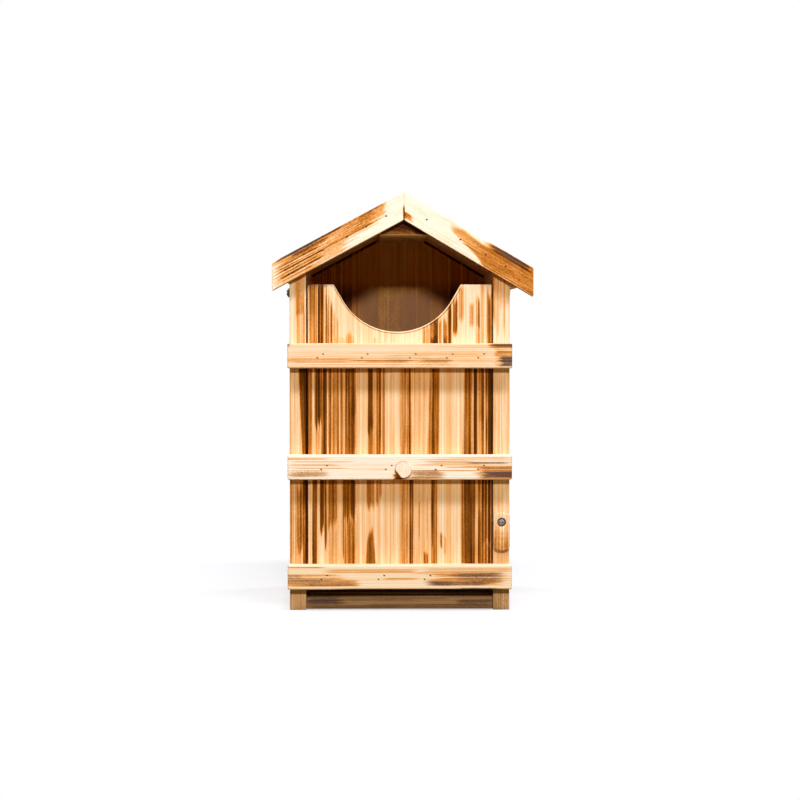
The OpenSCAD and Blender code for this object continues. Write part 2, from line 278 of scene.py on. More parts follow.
# shader socket that takes part in sums: an expression on it adds its Math nodes
class Wire:
    def __init__(self, tree, socket):
        self.tree = tree
        self.socket = socket

    def node(self, kind, settings, inputs, out=0):
        made = self.tree.nodes.new(kind)
        for key, value in settings.items():
            if key == "stops":
                for _ in range(len(value) - len(made.color_ramp.elements)):
                    made.color_ramp.elements.new(1.0)
                for element, (place, colour) in zip(made.color_ramp.elements, value):
                    element.position = place
                    element.color = (*colour, 1)
            else:
                setattr(made, key, value)
        for key, value in inputs.items():
            if isinstance(value, Wire):
                self.tree.links.new(value.socket, made.inputs[key])
            else:
                made.inputs[key].default_value = value
        return Wire(self.tree, made.outputs[out])

    def maths(self, operation, first, second=0.0):
        return self.node("ShaderNodeMath", {"operation": operation}, {0: first, 1: second})

    def __add__(self, other):
        return self.maths("ADD", self, other)

    def __radd__(self, other):
        return self.maths("ADD", other, self)

    def __sub__(self, other):
        return self.maths("SUBTRACT", self, other)

    def __rsub__(self, other):
        return self.maths("SUBTRACT", other, self)

    def __mul__(self, other):
        return self.maths("MULTIPLY", self, other)

    def __rmul__(self, other):
        return self.maths("MULTIPLY", other, self)

    def __truediv__(self, other):
        return self.maths("DIVIDE", self, other)

    def __rtruediv__(self, other):
        return self.maths("DIVIDE", other, self)

    def floor(self):
        return self.maths("FLOOR", self)

    def fraction(self):
        return self.maths("FRACT", self)

    def root(self):
        return self.maths("SQRT", self)

    def clamp(self):
        return self.node("ShaderNodeClamp", {}, {0: self})

    def step(self, low, high):
        return self.node("ShaderNodeMapRange", {"interpolation_type": "SMOOTHSTEP"},
                         {"Value": self, "From Min": low, "From Max": high})

    def along(self, direction):
        return self.node("ShaderNodeVectorMath", {"operation": "DOT_PRODUCT"}, {0: self, 1: direction},
                         "Value")

    def vector(self, x, y, z):
        return self.node("ShaderNodeCombineXYZ", {}, {0: x, 1: y, 2: z})

    def noise(self, detail=2.0, rough=0.5):
        return self.node("ShaderNodeTexNoise", {},
                         {"Vector": self, "Scale": 1.0, "Detail": detail, "Roughness": rough})

    # sockets 6, 7 and output 2 are the Mix node's colours
    def mix(self, colour, other):
        return self.node("ShaderNodeMix", {"data_type": "RGBA"}, {0: self, 6: colour, 7: other}, 2)


# an empty material, a start for its expressions, and its output
def newTree(name):
    material = bpy.data.materials.new(name)
    material.use_nodes = True
    material.node_tree.nodes.clear()
    end = material.node_tree.nodes.new("ShaderNodeOutputMaterial")
    return material, Wire(material.node_tree, None), end


# a colour as it reads on screen, turned into the linear numbers that the shader takes
def screen(red, green, blue):
    share = np.array([red, green, blue]) / 255
    linear = np.where(share <= 0.04045, share / 12.92, ((share + 0.055) / 1.055) ** 2.4)
    return tuple(float(v) for v in linear)


# colours of a wood from bare to charred, and the soot that lies on it, as they read on screen. Inside the
# back wall this soot colour is instead the painted colour of its pool of light
def ramp(soot, *stops):
    return {"burn": [(place, screen(*colour)) for place, colour in stops], "soot": screen(*soot)}


greySoot = (84, 64, 54)


# bare pine of its own tone, then the same wood more and more burnt
def burnColours(pale, soot=greySoot):
    return ramp(soot, (0.0, pale), (0.2, (242, 192, 134)), (0.42, (226, 154, 79)), (0.62, (184, 109, 31)),
                (0.82, (135, 74, 9)), (1.0, (82, 42, 4)))


doorColours = burnColours((249, 224, 186))
topStripColours = burnColours((247, 219, 184))
midStripColours = burnColours((253, 239, 216), (104, 72, 58))
lowStripColours = burnColours((252, 228, 190))
bargeColours = burnColours((250, 238, 212))
# inside of the back wall: the first colour is the painted colour of its pool of light, the stops run from
# bare to charred
shadeColours = ramp((154, 114, 84), (0.0, (255, 206, 112)), (0.3, (248, 180, 76)), (0.6, (224, 142, 42)),
                    (1.0, (84, 36, 4)))
beamColours = ramp(greySoot, (0.0, (226, 182, 112)), (0.4, (176, 122, 60)), (0.7, (112, 64, 26)),
                   (1.0, (44, 18, 6)))
footColours = ramp((92, 76, 72), (0.0, (186, 150, 108)), (0.35, (150, 114, 78)), (0.7, (104, 76, 54)),
                   (1.0, (50, 36, 28)))

# what all the pine shares. Each noise has its scale across and along the grain, its detail and roughness
pineSet = {
    "lines": (230.0, 0.7, 3.0, 0.72), "fibre": (1250.0, 4.0, 1.0, 0.5), "speck": (800.0, 380.0, 2.0, 0.6),
    "blotch": (120.0, 30.0, 3.0, 0.6), "hair": (520.0, 0.8, 1.0, 0.5),
    "wander": {"across": 26.0, "along": 4.0, "apart": 40.0, "reach": 0.005},
    "staveShift": 0.37, "pithSpread": 2.4, "pithLeast": 0.6,
    "lateBegins": (0.2, 0.85), "lateEnds": (0.9, 1.0), "lateMean": 0.4,
    "threadSharp": 1800.0, "hairEdge": (0.07, 0.15), "hairPale": 0.36, "edgeTop": 1.25,
    # how far a mark shows at the edge of a scorch, and on bare wood
    "atEdge": {"lines": 3.0, "fibre": 1.8, "speck": 0.9, "blotch": 0.7, "thread": 0.3, "late": 0.45},
    "onBare": {"lines": 0.1, "fibre": 0.07, "speck": 0.03, "blotch": 0.06, "thread": 0.1, "late": 0.05},
    "sootAndLitPoolRagged": {"blotch": 0.8, "speck": 1.2, "top": 1.06, "strength": 2.6},
    "relief": {"late": 0.5, "lines": 0.6, "fibre": 0.35, "burn": 0.3},
    "bump": {"Strength": 0.35, "Distance": 0.0005},
    "rough": 0.62, "burnRough": 0.2, "fibreRough": 0.08, "specular": 0.06}


# pine: growth rings are circles around a pith behind the board's face, so faces show long lines and ends
# show arcs. Glued panels are staves side by side, each with a pith and tone of its own. The piece's scorch
# and soot say where the torch went: there the fibres stand out as dark, orange and pale lines. On several
# pieces the scorch also carries painted shade and shadow, and inside the back wall the soot carries the
# painted colour of its pool of light
def pine(name, spec):
    material, start, end = newTree(name)
    point = start.node("ShaderNodeTexCoord", {}, {}, "Object")
    across, deep, grain = (point.along(spec[k]) for k in ("across", "deep", "grain"))

    # noise drawn out along the grain, around zero
    def grained(kind):
        wide, long, detail, rough = pineSet[kind]
        return start.vector(across * wide, deep * wide, grain * long).noise(detail, rough) - 0.5

    # values that the mesh carries
    def carried(attribute):
        return start.node("ShaderNodeAttribute", {"attribute_name": attribute}, {}, "Fac")

    shift = spec["seed"] * pineSet["staveShift"]
    stave = (across / spec["stave"] + shift).floor()
    chance = start.node("ShaderNodeTexWhiteNoise", {"noise_dimensions": "1D"}, {"W": stave + spec["seed"]},
                        "Color")
    first, second, third = (start.node("ShaderNodeSeparateColor", {}, {0: chance}, k) for k in range(3))
    way = pineSet["wander"]
    wander = start.vector(across * way["across"], deep * way["across"],
                          grain * way["along"] + first * way["apart"]).noise() - 0.5
    fromPith = across - (stave + 0.5 - shift) * spec["stave"]
    fromPith = fromPith - (first - 0.5) * (pineSet["pithSpread"] * spec["stave"])
    below = deep - spec["face"] - spec["pith"] * (pineSet["pithLeast"] + second)
    radius = (fromPith * fromPith + below * below).root() + wander * way["reach"]
    ring = (radius / spec["rings"]).fraction()
    late = ring.step(*pineSet["lateBegins"]) * (1 - ring.step(*pineSet["lateEnds"]))
    lines, fibre, speck, blotch = (grained(k) for k in ("lines", "fibre", "speck", "blotch"))
    thread = 1 - (lines * lines * pineSet["threadSharp"]).step(0.0, 1.0)  # thin dark lines
    hair = grained("hair").step(*pineSet["hairEdge"])  # pale lines in dark fields
    scorch, soot = carried("scorch"), carried("soot")
    contrast, outer = spec.get("contrast", 1.0), None
    if "outerColours" in spec:
        outer = carried("outer")
        contrast = outer * (1 - contrast) + contrast
    edge = scorch * (pineSet["edgeTop"] - scorch) * contrast

    # how far a mark shows here
    def shown(mark):
        atEdge = spec.get(mark + "AtEdge", pineSet["atEdge"][mark])
        return edge * atEdge + spec.get(mark + "OnBare", pineSet["onBare"][mark])

    burn = scorch + lines * shown("lines") + fibre * shown("fibre")
    burn = burn + (speck * shown("speck") + blotch * shown("blotch")) * spec.get("mottle", 1.0)
    burn = burn + thread * shown("thread") - hair * scorch * spec.get("hair", pineSet["hairPale"])
    burn = burn + (late - pineSet["lateMean"]) * shown("late")
    burn = (burn + (third - 0.5) * spec["tone"]).clamp()
    if "rim" in spec:  # pale sawn arris along the entry, with a thin charred line inside it
        rim = spec["rim"]
        gap = carried("rimGap") + blotch * rim["ragged"]
        char = gap.step(*rim["charBegins"]) * (1 - gap.step(*rim["charEnds"])) * rim["char"]
        burn = (burn * (rim["pale"] + gap.step(*rim["paleEnds"]) * (1 - rim["pale"])) + char).clamp()
    colour = start.node("ShaderNodeValToRGB", {"stops": spec["colours"]["burn"]}, {0: burn})
    if outer:
        outside = start.node("ShaderNodeValToRGB", {"stops": spec["outerColours"]["burn"]}, {0: burn})
        colour = outer.mix(colour, outside)
    patchy = pineSet["sootAndLitPoolRagged"]
    ragged = lines + blotch * patchy["blotch"] + speck * patchy["speck"] + fibre
    sootAndLitPoolShare = (soot + ragged * (soot * (patchy["top"] - soot) * patchy["strength"])).clamp()
    colour = sootAndLitPoolShare.mix(colour, (*spec["colours"]["soot"], 1))
    relief = pineSet["relief"]
    height = late * relief["late"] + lines * relief["lines"] + fibre * relief["fibre"] - burn * relief["burn"]
    bump = start.node("ShaderNodeBump", {}, {**pineSet["bump"], "Height": height})
    shader = start.node("ShaderNodeBsdfPrincipled", {}, {
        "Base Color": colour, "Normal": bump, "Specular IOR Level": pineSet["specular"],
        "Roughness": pineSet["rough"] + burn * pineSet["burnRough"] + fibre * pineSet["fibreRough"]})
    start.tree.links.new(shader.socket, end.inputs["Surface"])
    return material


steelSet = {"detail": 4.0, "grime": (0.35, 0.7), "grimeRough": 0.25,
            "bump": {"Strength": 0.2, "Distance": 0.0002}}


# dull steel of screws and nails, with grime in broad patches
def steel(name, spec):
    material, start, end = newTree(name)
    point = start.node("ShaderNodeTexCoord", {}, {}, "Object")
    grime = start.node("ShaderNodeTexNoise", {},
                       {"Vector": point, "Scale": spec["grain"], "Detail": steelSet["detail"]})
    colour = grime.step(*steelSet["grime"]).mix((*spec["dark"], 1), (*spec["light"], 1))
    bump = start.node("ShaderNodeBump", {}, {**steelSet["bump"], "Height": grime})
    shader = start.node("ShaderNodeBsdfPrincipled", {}, {
        "Base Color": colour, "Metallic": spec["metallic"], "Normal": bump,
        "Roughness": spec["rough"] + grime * steelSet["grimeRough"]})
    start.tree.links.new(shader.socket, end.inputs["Surface"])
    return material


# a finished piece: its material, the body that it moves with and the solid that it stands for
def dress(piece, material, body, node):
    piece.data.materials.append(material)
    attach(piece, body)
    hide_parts(node)


axisX, axisY, axisZ = (1.0, 0.0, 0.0), (0.0, 1.0, 0.0), (0.0, 0.0, 1.0)
uprightGrain = {"across": axisX, "deep": axisY, "grain": axisZ}
levelGrain = {"across": axisZ, "deep": axisY, "grain": axisX}

# door panel: glued staves on end, with the entry scooped out of the top edge
doorLow, doorHigh = corners("door_panel")
doorSpec = {
    "name": "doorPanel", "node": "door_panel", "run": 0, "ease": 1.1, "step": (0.8, 4.0, 3.4),
    "entryRadius": 76, "entryDepth": 57, "entryLean": 30, "entryRight": -3,
    "wood": {**uprightGrain, "stave": 0.032, "pith": 0.022, "rings": 0.0047, "face": doorLow[1],
             "seed": 3.0, "tone": 0.1, "hair": 0.5, "linesAtEdge": 3.4, "colours": doorColours,
             # sawn rim of the entry: distances in mm from its edge
             "rim": {"ragged": 0.6, "pale": 0.35, "paleEnds": (0.8, 1.6), "char": 0.42,
                     "charBegins": (1.0, 1.5), "charEnds": (2.2, 3.0)}},
    "rear": (0.3, 0.9), "rearPale": 0.85, "thinChar": 0.7, "thinCharRight": (-0.06, -0.02), "rimReach": 10,
    "scorchSeed": 11, "sootSeed": 71,
    # scorch strokes: distance right of the middle, half width, from and to above the ground, strength
    "scorch": [
        (0, 116, -20, 318, 0.11), (0, 116, 310, 420, 0.05),
        (-104.9, 4.7, 312, 400, 0.6), (-95.2, 3.4, 312, 400, 0.78), (-87.1, 2.4, 312, 378, 0.74),
        (-87.1, 2.4, 370, 400, 0.4), (-82.3, 1.3, 312, 368, 0.6), (-79, 1.0, 312, 362, 0.56),
        (-75, 1.2, 312, 350, 0.3), (-61.3, 3.6, 312, 334, 0.3), (-66, 12, 312, 330, 0.16),
        (-30, 2.4, 312, 330, 0.22), (31.7, 4.2, 312, 345, 0.36), (41.5, 5.0, 312, 358, 0.56),
        (41.5, 4.6, 312, 332, 0.78), (49.4, 1.6, 312, 352, 0.45), (54.7, 2.3, 312, 352, 0.42),
        (54.7, 2.3, 312, 332, 0.66), (60.4, 2.0, 312, 368, 0.72), (67.1, 2.7, 333, 374, 0.62),
        (75, 4.0, 352, 394, 0.32), (87.2, 3.0, 345, 372, 0.46), (94.7, 2.2, 341, 378, 0.64),
        (94.7, 2.2, 312, 345, 0.4), (100, 2.4, 312, 396, 0.2), (107.9, 2.6, 312, 386, 0.54),
        (-108.5, 3.0, 174, 306, 0.62), (-98.1, 4.5, 222, 306, 0.78, -98.4, 4.3), (-98.1, 4.6, 174, 226, 0.22),
        (-91.4, 3.6, 174, 306, 0.76, -90.4, 3.0), (-77.5, 10, 174, 306, 0.3), (-84.5, 1.6, 174, 306, 0.68),
        (-79.4, 1.0, 174, 306, 0.74), (-74.6, 0.9, 174, 306, 0.72), (-70.6, 0.9, 174, 306, 0.66),
        (-59.1, 7.3, 174, 306, 0.58), (-55.4, 3.4, 228, 306, 0.72), (-63.4, 2.6, 240, 306, 0.7),
        (-45, 6.0, 174, 306, 0.14), (-28.4, 9.6, 174, 306, 0.36), (-35, 3.4, 214, 306, 0.66),
        (-35, 3.0, 174, 236, 0.5), (-27.4, 1.2, 174, 306, 0.74), (-23.6, 1.0, 174, 306, 0.68),
        (-19.8, 1.4, 174, 306, 0.7), (8, 7.6, 174, 306, 0.44), (3.2, 1.3, 174, 290, 0.66),
        (7.4, 1.0, 190, 306, 0.6), (13, 2.0, 174, 262, 0.8), (12.6, 1.6, 250, 306, 0.6),
        (26.6, 10.3, 174, 306, 0.2), (40, 7.6, 174, 306, 0.5, 42.4, 5.6), (40.2, 1.2, 174, 306, 0.7),
        (82.4, 7.4, 174, 306, 0.62, 84.4, 5.6), (91.8, 2.8, 174, 306, 0.9), (99.4, 3.3, 174, 306, 0.68),
        (107.4, 3.7, 174, 306, 0.86),
        (-103, 2.9, 40, 170, 0.76), (-108, 1.2, 40, 170, 0.24), (-93.9, 2.5, 93, 170, 0.9),
        (-89.6, 1.2, 74, 170, 0.74), (-81.6, 6.0, 101, 170, 0.62), (-81.6, 6.2, 40, 106, 0.3),
        (-72, 2.6, 40, 170, 0.22), (-68.4, 0.8, 60, 170, 0.5), (-64.4, 3.6, 106, 170, 0.8),
        (-56.4, 3.6, 108, 170, 0.8), (-60.4, 7.6, 40, 114, 0.48), (-47.2, 5.0, 40, 170, 0.13),
        (-35.4, 4.6, 124, 170, 0.42), (-34.6, 7.4, 40, 95, 0.58, -35.2, 3.2), (-27.4, 1.4, 128, 170, 0.5),
        (-22.6, 1.8, 136, 170, 0.56), (5.4, 5.6, 40, 170, 0.34), (3.2, 0.9, 40, 170, 0.52),
        (7.6, 0.8, 40, 170, 0.5), (14.1, 2.2, 40, 170, 0.92), (26.6, 9.4, 40, 170, 0.22),
        (24, 1.0, 80, 130, 0.4), (33, 1.0, 85, 140, 0.42), (31.8, 3.0, 40, 72, 0.6),
        (41.4, 3.9, 40, 170, 0.48), (39.6, 1.3, 70, 170, 0.8), (50.4, 1.8, 76, 94, 0.5),
        (55, 1.8, 66, 90, 0.28), (80.3, 5.2, 40, 170, 0.62), (88.4, 3.0, 40, 170, 0.96),
        (96.6, 2.4, 40, 170, 0.8), (104.9, 5.6, 80, 170, 0.86), (104.9, 5.6, 40, 84, 0.7),
        (97.5, 13, 174, 306, 0.38), (96, 14, 40, 170, 0.32)],
    "soot": [(-90, 24, 390.4, 398, 0.5)]}


# top edge of the door: level ears, sides that lean out of a round bottom along their tangents
def doorTop(x, spec):
    radius, lean = spec["entryRadius"] * mm, math.radians(spec["entryLean"])
    off = np.abs(x - middleX - spec["entryRight"] * mm)
    centreZ = doorHigh[2] - spec["entryDepth"] * mm + radius
    tangent = radius * math.cos(lean)
    arc = centreZ - np.sqrt(np.maximum(radius ** 2 - np.minimum(off, tangent) ** 2, 0))
    side = centreZ - radius * math.sin(lean) + (off - tangent) / math.tan(lean)
    return np.minimum(doorHigh[2], np.where(off < tangent, arc, side))


# distance of the entry's upper corners from its middle
def entryHalfWidth(spec):
    radius, lean = spec["entryRadius"] * mm, math.radians(spec["entryLean"])
    rise = spec["entryDepth"] * mm - radius * (1 - math.sin(lean))
    return radius * math.cos(lean) + rise * math.tan(lean)


# door: the heights of a plain board are stretched to the scooped top edge
def makeDoor(spec):
    entryX = middleX + spec["entryRight"] * mm
    half = entryHalfWidth(spec)

    def scoop(grid):
        share = (grid[:, :, 2] - doorLow[2]) / (doorHigh[2] - doorLow[2])
        grid[:, :, 2] = doorLow[2] + share * (doorTop(grid[:, :, 0], spec) - doorLow[2])
        return grid

    piece, verts = board({**spec, "low": doorLow, "high": doorHigh, "shape": scoop,
                          "kept": (entryX - half, entryX + half)})
    right, height = verts[:, 0] - middleX, verts[:, 2]
    rear = smooth(*spec["rear"], (verts[:, 1] - doorLow[1]) / (doorHigh[1] - doorLow[1]))
    burn = strokes(right, height, spec["scorch"], spec["scorchSeed"])
    tint(piece, "scorch", burn * (1 - spec["rearPale"] * rear))
    tint(piece, "soot", strokes(right, height, spec["soot"], spec["sootSeed"]))
    # distance from the sawn rim of the entry, square to its slope, in mm; thinner char on its left flank
    near = 0.5 * mm
    slope = (doorTop(verts[:, 0] + near, spec) - doorTop(verts[:, 0] - near, spec)) / (2 * near)
    gap = (doorTop(verts[:, 0], spec) - height) / np.sqrt(1 + slope ** 2) / mm
    gap = gap + spec["thinChar"] * (1 - smooth(*spec["thinCharRight"], verts[:, 0] - entryX))
    beside = np.abs(verts[:, 0] - entryX) < half
    tint(piece, "rimGap", np.where(beside, np.minimum(gap, spec["rimReach"]), spec["rimReach"]))
    dress(piece, pine("doorPine", spec["wood"]), "door", spec["node"])


makeDoor(doorSpec)
print("door panel done")

# battens: sawn strips nailed across the door, scorched and sooty at their right ends
battenSet = {"ease": 1.6, "step": (1.6, 3.0, 0.7), "waveLength": 0.05, "topWave": 0.6,
             "scorchSeed": 20, "sootSeed": 60,
             "wood": {**levelGrain, "stave": 0.2, "pith": 0.03, "rings": 0.0026, "tone": 0.0,
                      "contrast": 0.7}}
# strokes: height above the batten's lower edge, half width, from and to right of the middle, strength
battenSpecs = [
    {"name": "topBatten", "node": "top_batten", "seed": 5.0, "waviness": 0.3, "colours": topStripColours,
     "scorch": [(6, 8.4, -140, 70, 0.17), (14, 15, -140, 142, 0.06), (19, 6, -10, 110, 0.1),
                (7, 7, 60, 116, 0.12), (11.1, 0.7, -135, -50, 0.46), (7.5, 0.7, -134, -66, 0.42),
                (4.5, 0.6, -120, -40, 0.4), (12.6, 0.5, -20, 40, 0.4), (14.2, 0.5, 50, 104, 0.36),
                (10.6, 0.5, 66, 116, 0.4), (21.4, 0.5, -128, -84, 0.22), (17, 0.5, 10, 90, 0.3),
                (25.8, 0.5, 40, 104, 0.24), (3.2, 0.5, 62, 118, 0.34), (2, 0.8, -138, 60, 0.36),
                (9.5, 0.8, -60, 20, 0.4), (6.5, 4.4, -46, 8, 0.3), (4, 0.7, -30, 60, 0.42),
                (15, 0.6, -18, 35, 0.26), (6, 1.2, 32, 62, 0.46), (8, 5, 20, 62, 0.28),
                (23, 0.8, 30, 90, 0.2), (25, 0.6, -90, 0, 0.14), (19, 0.6, -60, 60, 0.14),
                (15, 14, 114, 142, 0.34), (27, 2.2, 108, 142, 0.66), (20, 0.8, 116, 142, 0.56),
                (12.5, 0.8, 120, 142, 0.62), (5, 0.9, 116, 142, 0.6)],
     "soot": [(27.5, 2.4, 114, 142, 0.5), (8.4, 6.2, 121, 142, 0.8), (28, 1.6, -142, -132, 0.6),
              (7, 4.5, -20, 6, 0.14), (7, 4.5, 28, 60, 0.16)]},
    {"name": "middleBatten", "node": "middle_batten", "seed": 9.0, "waviness": 0.3,
     "colours": midStripColours,
     "scorch": [(25.5, 0.6, -133, -85, 0.3), (22, 0.6, -130, -60, 0.24), (18, 0.7, -136, -80, 0.3),
                (8, 4, -132, -88, 0.18), (6.5, 5, 14, 50, 0.24), (22, 0.6, 34, 88, 0.3),
                (24.2, 0.5, 26, 80, 0.22), (15, 0.7, 55, 120, 0.2), (3.4, 3.2, -7, 3, 0.7),
                (9, 8, 94, 142, 0.36), (12.5, 0.7, -60, -10, 0.14), (26, 0.5, 60, 130, 0.24),
                (18, 0.5, 24, 100, 0.26), (20.2, 0.5, 40, 112, 0.28), (16.2, 0.5, 70, 136, 0.3),
                (11, 0.5, 30, 96, 0.26), (14, 0.5, -128, -70, 0.24), (10.6, 0.5, -120, -86, 0.26),
                (22, 6, 40, 136, 0.07)],
     "soot": [(7.5, 3.8, -132, -90, 0.36), (6.5, 4.6, 15, 50, 0.52), (20.4, 1.0, 88, 134, 0.55),
              (14, 0.8, 98, 142, 0.6), (6.4, 4, 99, 142, 0.85)]},
    {"name": "bottomBatten", "node": "bottom_batten", "seed": 13.0, "waviness": 0.7,
     "colours": lowStripColours,
     "scorch": [(27, 0.7, -138, -95, 0.36), (22, 2.4, -92, 15, 0.24), (24, 2.4, 30, 130, 0.16),
                (11, 7.5, -138, -70, 0.32), (8, 3.6, -90, -50, 0.36), (13.5, 1.6, -20, 18, 0.3),
                (13, 8, 40, 122, 0.34), (20, 0.8, 20, 130, 0.3)],
     "soot": [(15.5, 2.4, -138, -116, 0.34), (10, 3.2, -136, -88, 0.36), (6.6, 2.4, -112, -54, 0.36),
              (17, 3.2, 62, 118, 0.6), (12, 3, 74, 122, 0.5), (7.6, 2.6, 40, 108, 0.66),
              (1.2, 1, 72, 116, 0.6)]}]


def makeBatten(spec):
    low, high = corners(spec["node"])
    seed = int(spec["seed"])

    # the sawn edges wander a little along the strip
    def saw(grid):
        along = grid[:, :, 0] / battenSet["waveLength"]
        share = (grid[:, :, 2] - low[2]) / (high[2] - low[2])
        wave = spec["waviness"] * mm
        grid[:, :, 2] += wave * (1 - share) * (1 + ripple(along, seed)) / 2
        grid[:, :, 2] -= wave * battenSet["topWave"] * share * (1 + ripple(along, seed + 1)) / 2
        return grid

    piece, verts = board({**battenSet, "name": spec["name"], "run": 0, "low": low, "high": high,
                          "shape": saw})
    across, along = verts[:, 2] - low[2], verts[:, 0] - middleX
    tint(piece, "scorch", strokes(across, along, spec["scorch"], seed + battenSet["scorchSeed"]))
    tint(piece, "soot", strokes(across, along, spec["soot"], seed + battenSet["sootSeed"]))
    wood = {**battenSet["wood"], "face": low[1], "seed": spec["seed"], "colours": spec["colours"]}
    dress(piece, pine(spec["name"] + "Pine", wood), "door", spec["node"])


for battenSpec in battenSpecs:
    makeBatten(battenSpec)
print("battens done")

# side walls: staves on end; the front edges show beside the door, the outer faces are scorched all over
wallSet = {"ease": 1.0, "step": (1.2, 2.6, 4.0), "loose": (34, 0, 250, -20, 420),
           "frontEdge": (0.0008, 0.003), "inward": (0.2, 0.9), "innerChar": 0.1, "footTop": (0.028, 0.034),
           "slotShade": 1.0, "slotDepth": (0.02, 0.05), "slotSoft": (-0.05, 0.005),
           "looseSeed": 3, "frontSeed": 40,
           "wood": {"across": axisY, "deep": axisX, "grain": axisZ, "stave": 0.034, "pith": 0.022,
                    "rings": 0.0047, "tone": 0.08, "colours": doorColours}}
# front strokes: distance right of the middle, half width, from and to above the ground, strength
wallSpecs = [
    {"name": "leftSideWall", "node": "left_side_wall", "slope": leftSlope, "outer": -1, "seed": 17.0,
     "footSoot": 0.15, "slotTop": 0.45,
     "front": [(-124, 30, -20, 318, 0.11), (-120.4, 4.8, 356, 384, 0.5), (-120.4, 5, 376, 415, 0.34),
               (-120, 5, 314, 364, 0.26), (-114.6, 2.8, 174, 308, 0.76, -117.4, 5.2),
               (-114.2, 3.0, 40, 170, 0.82), (-120.6, 3.4, 70, 152, 0.52), (-126, 7, 40, 170, 0.28),
               (-124, 11, -20, 34, 0.12)]},
    {"name": "rightSideWall", "node": "right_side_wall", "slope": -rightSlope, "outer": 1, "seed": 23.0,
     "footSoot": 0.33, "slotTop": 0.31,
     "front": [(122, 30, -20, 318, 0.12), (119, 1.2, 326, 415, 0.4), (126, 1.2, 336, 415, 0.36),
               (114, 2, 346, 415, 0.3), (122, 10, 370, 420, 0.16), (116, 2, 174, 300, 0.18),
               (122, 10, 118, 170, 0.12), (122, 10, 36, 74, 0.15), (122, 11, -20, 34, 0.16)]}]


def makeWall(spec):
    low, high = corners(spec["node"])
    outerX, innerX = (low[0], high[0]) if spec["outer"] < 0 else (high[0], low[0])
    seed = int(spec["seed"])

    # the top is cut to the slope of the roof, from the height of the inner face
    def cutTop(grid):
        grid[:, :, 2] += (grid[:, :, 2] / high[2]) * spec["slope"] * (grid[:, :, 0] - innerX)
        return grid

    piece, verts = board({**wallSet, "name": spec["name"], "run": 2, "low": low, "high": high,
                          "shape": cutTop})
    depth, height = verts[:, 1] - low[1], verts[:, 2]
    face = strokes(depth, height, looseStrokes(*wallSet["loose"], seed), seed + wallSet["looseSeed"])
    front = strokes(verts[:, 0] - middleX, height, spec["front"], seed + wallSet["frontSeed"])
    atFront = 1 - smooth(*wallSet["frontEdge"], depth)
    inward = smooth(*wallSet["inward"], (verts[:, 0] - outerX) / (innerX - outerX))
    # painted shade in the slot beside the door, up to a height of its own
    slot = 1 - smooth(*wallSet["slotDepth"], depth)
    slot = slot * (1 - smooth(*wallSet["slotSoft"], height - spec["slotTop"]))
    sides = face * (1 - inward) + (wallSet["innerChar"] + wallSet["slotShade"] * slot) * inward
    tint(piece, "scorch", front * atFront + sides * (1 - atFront))
    tint(piece, "soot", spec["footSoot"] * atFront * (1 - smooth(*wallSet["footTop"], height)))
    wood = {**wallSet["wood"], "face": outerX, "seed": spec["seed"]}
    dress(piece, pine(spec["name"] + "Pine", wood), "box", spec["node"])


for wallSpec in wallSpecs:
    makeWall(wallSpec)
print("side walls done")

# back wall: plain staves inside, scorched outside, cut to the gable
backSpec = {"name": "backWall", "node": "back_wall", "run": 0, "ease": 0.8, "step": (1.3, 4.0, 4.0),
            "looseSeed": 31, "outerSeed": 33, "staveSeed": 34,
            "wood": {**uprightGrain, "stave": 0.029, "pith": 0.05, "rings": 0.004, "seed": 29.0, "tone": 0.0,
                     "contrast": 0.3, "threadOnBare": 0.03, "colours": shadeColours,
                     "outerColours": doorColours},
            # inside, the staves are given strengths that grow from the middle out to the sides: right of the
            # middle, half width, from, to, strength
            "staves": [(-95, 20, 0, 480, 0.62), (-58, 16, 0, 480, 0.5), (-32, 10, 0, 480, 0.36),
                       (-12, 9, 0, 480, 0.24), (3, 5, 0, 480, 0.34), (17, 6.6, 0, 480, 0.3),
                       (34, 9, 0, 480, 0.4), (56, 11, 0, 480, 0.46), (90, 22, 0, 480, 0.58)],
            "loose": (30, -113, 113, -20, 480), "outside": (0.3, 0.9),
            "joint": 9.2, "jointHalf": (0.0014, 0.0005),  # pale glue joint
            # the next values paint light and shade inside: a paler band above the pool of light, shadow lines
            # under the roof, shade beside the pool and its grey within it
            "upperPale": 0.08, "upperLine": (0.385, 0.41),
            "roofShadow": 1.6, "roofLine": (0.006, 0.001), "besideBeam": (0.02, 0.034),
            "lit": (0.04, 0.064), "unlitShade": 0.3, "shadeLine": (0.38, 0.405),
            "poolGrey": 0.94, "unlitGrey": 0.5, "paleStave": 0.14, "paleStaveEdge": (0.004, 0.002),
            "paleStaveAt": -0.011, "paleStaveHalf": 0.011}


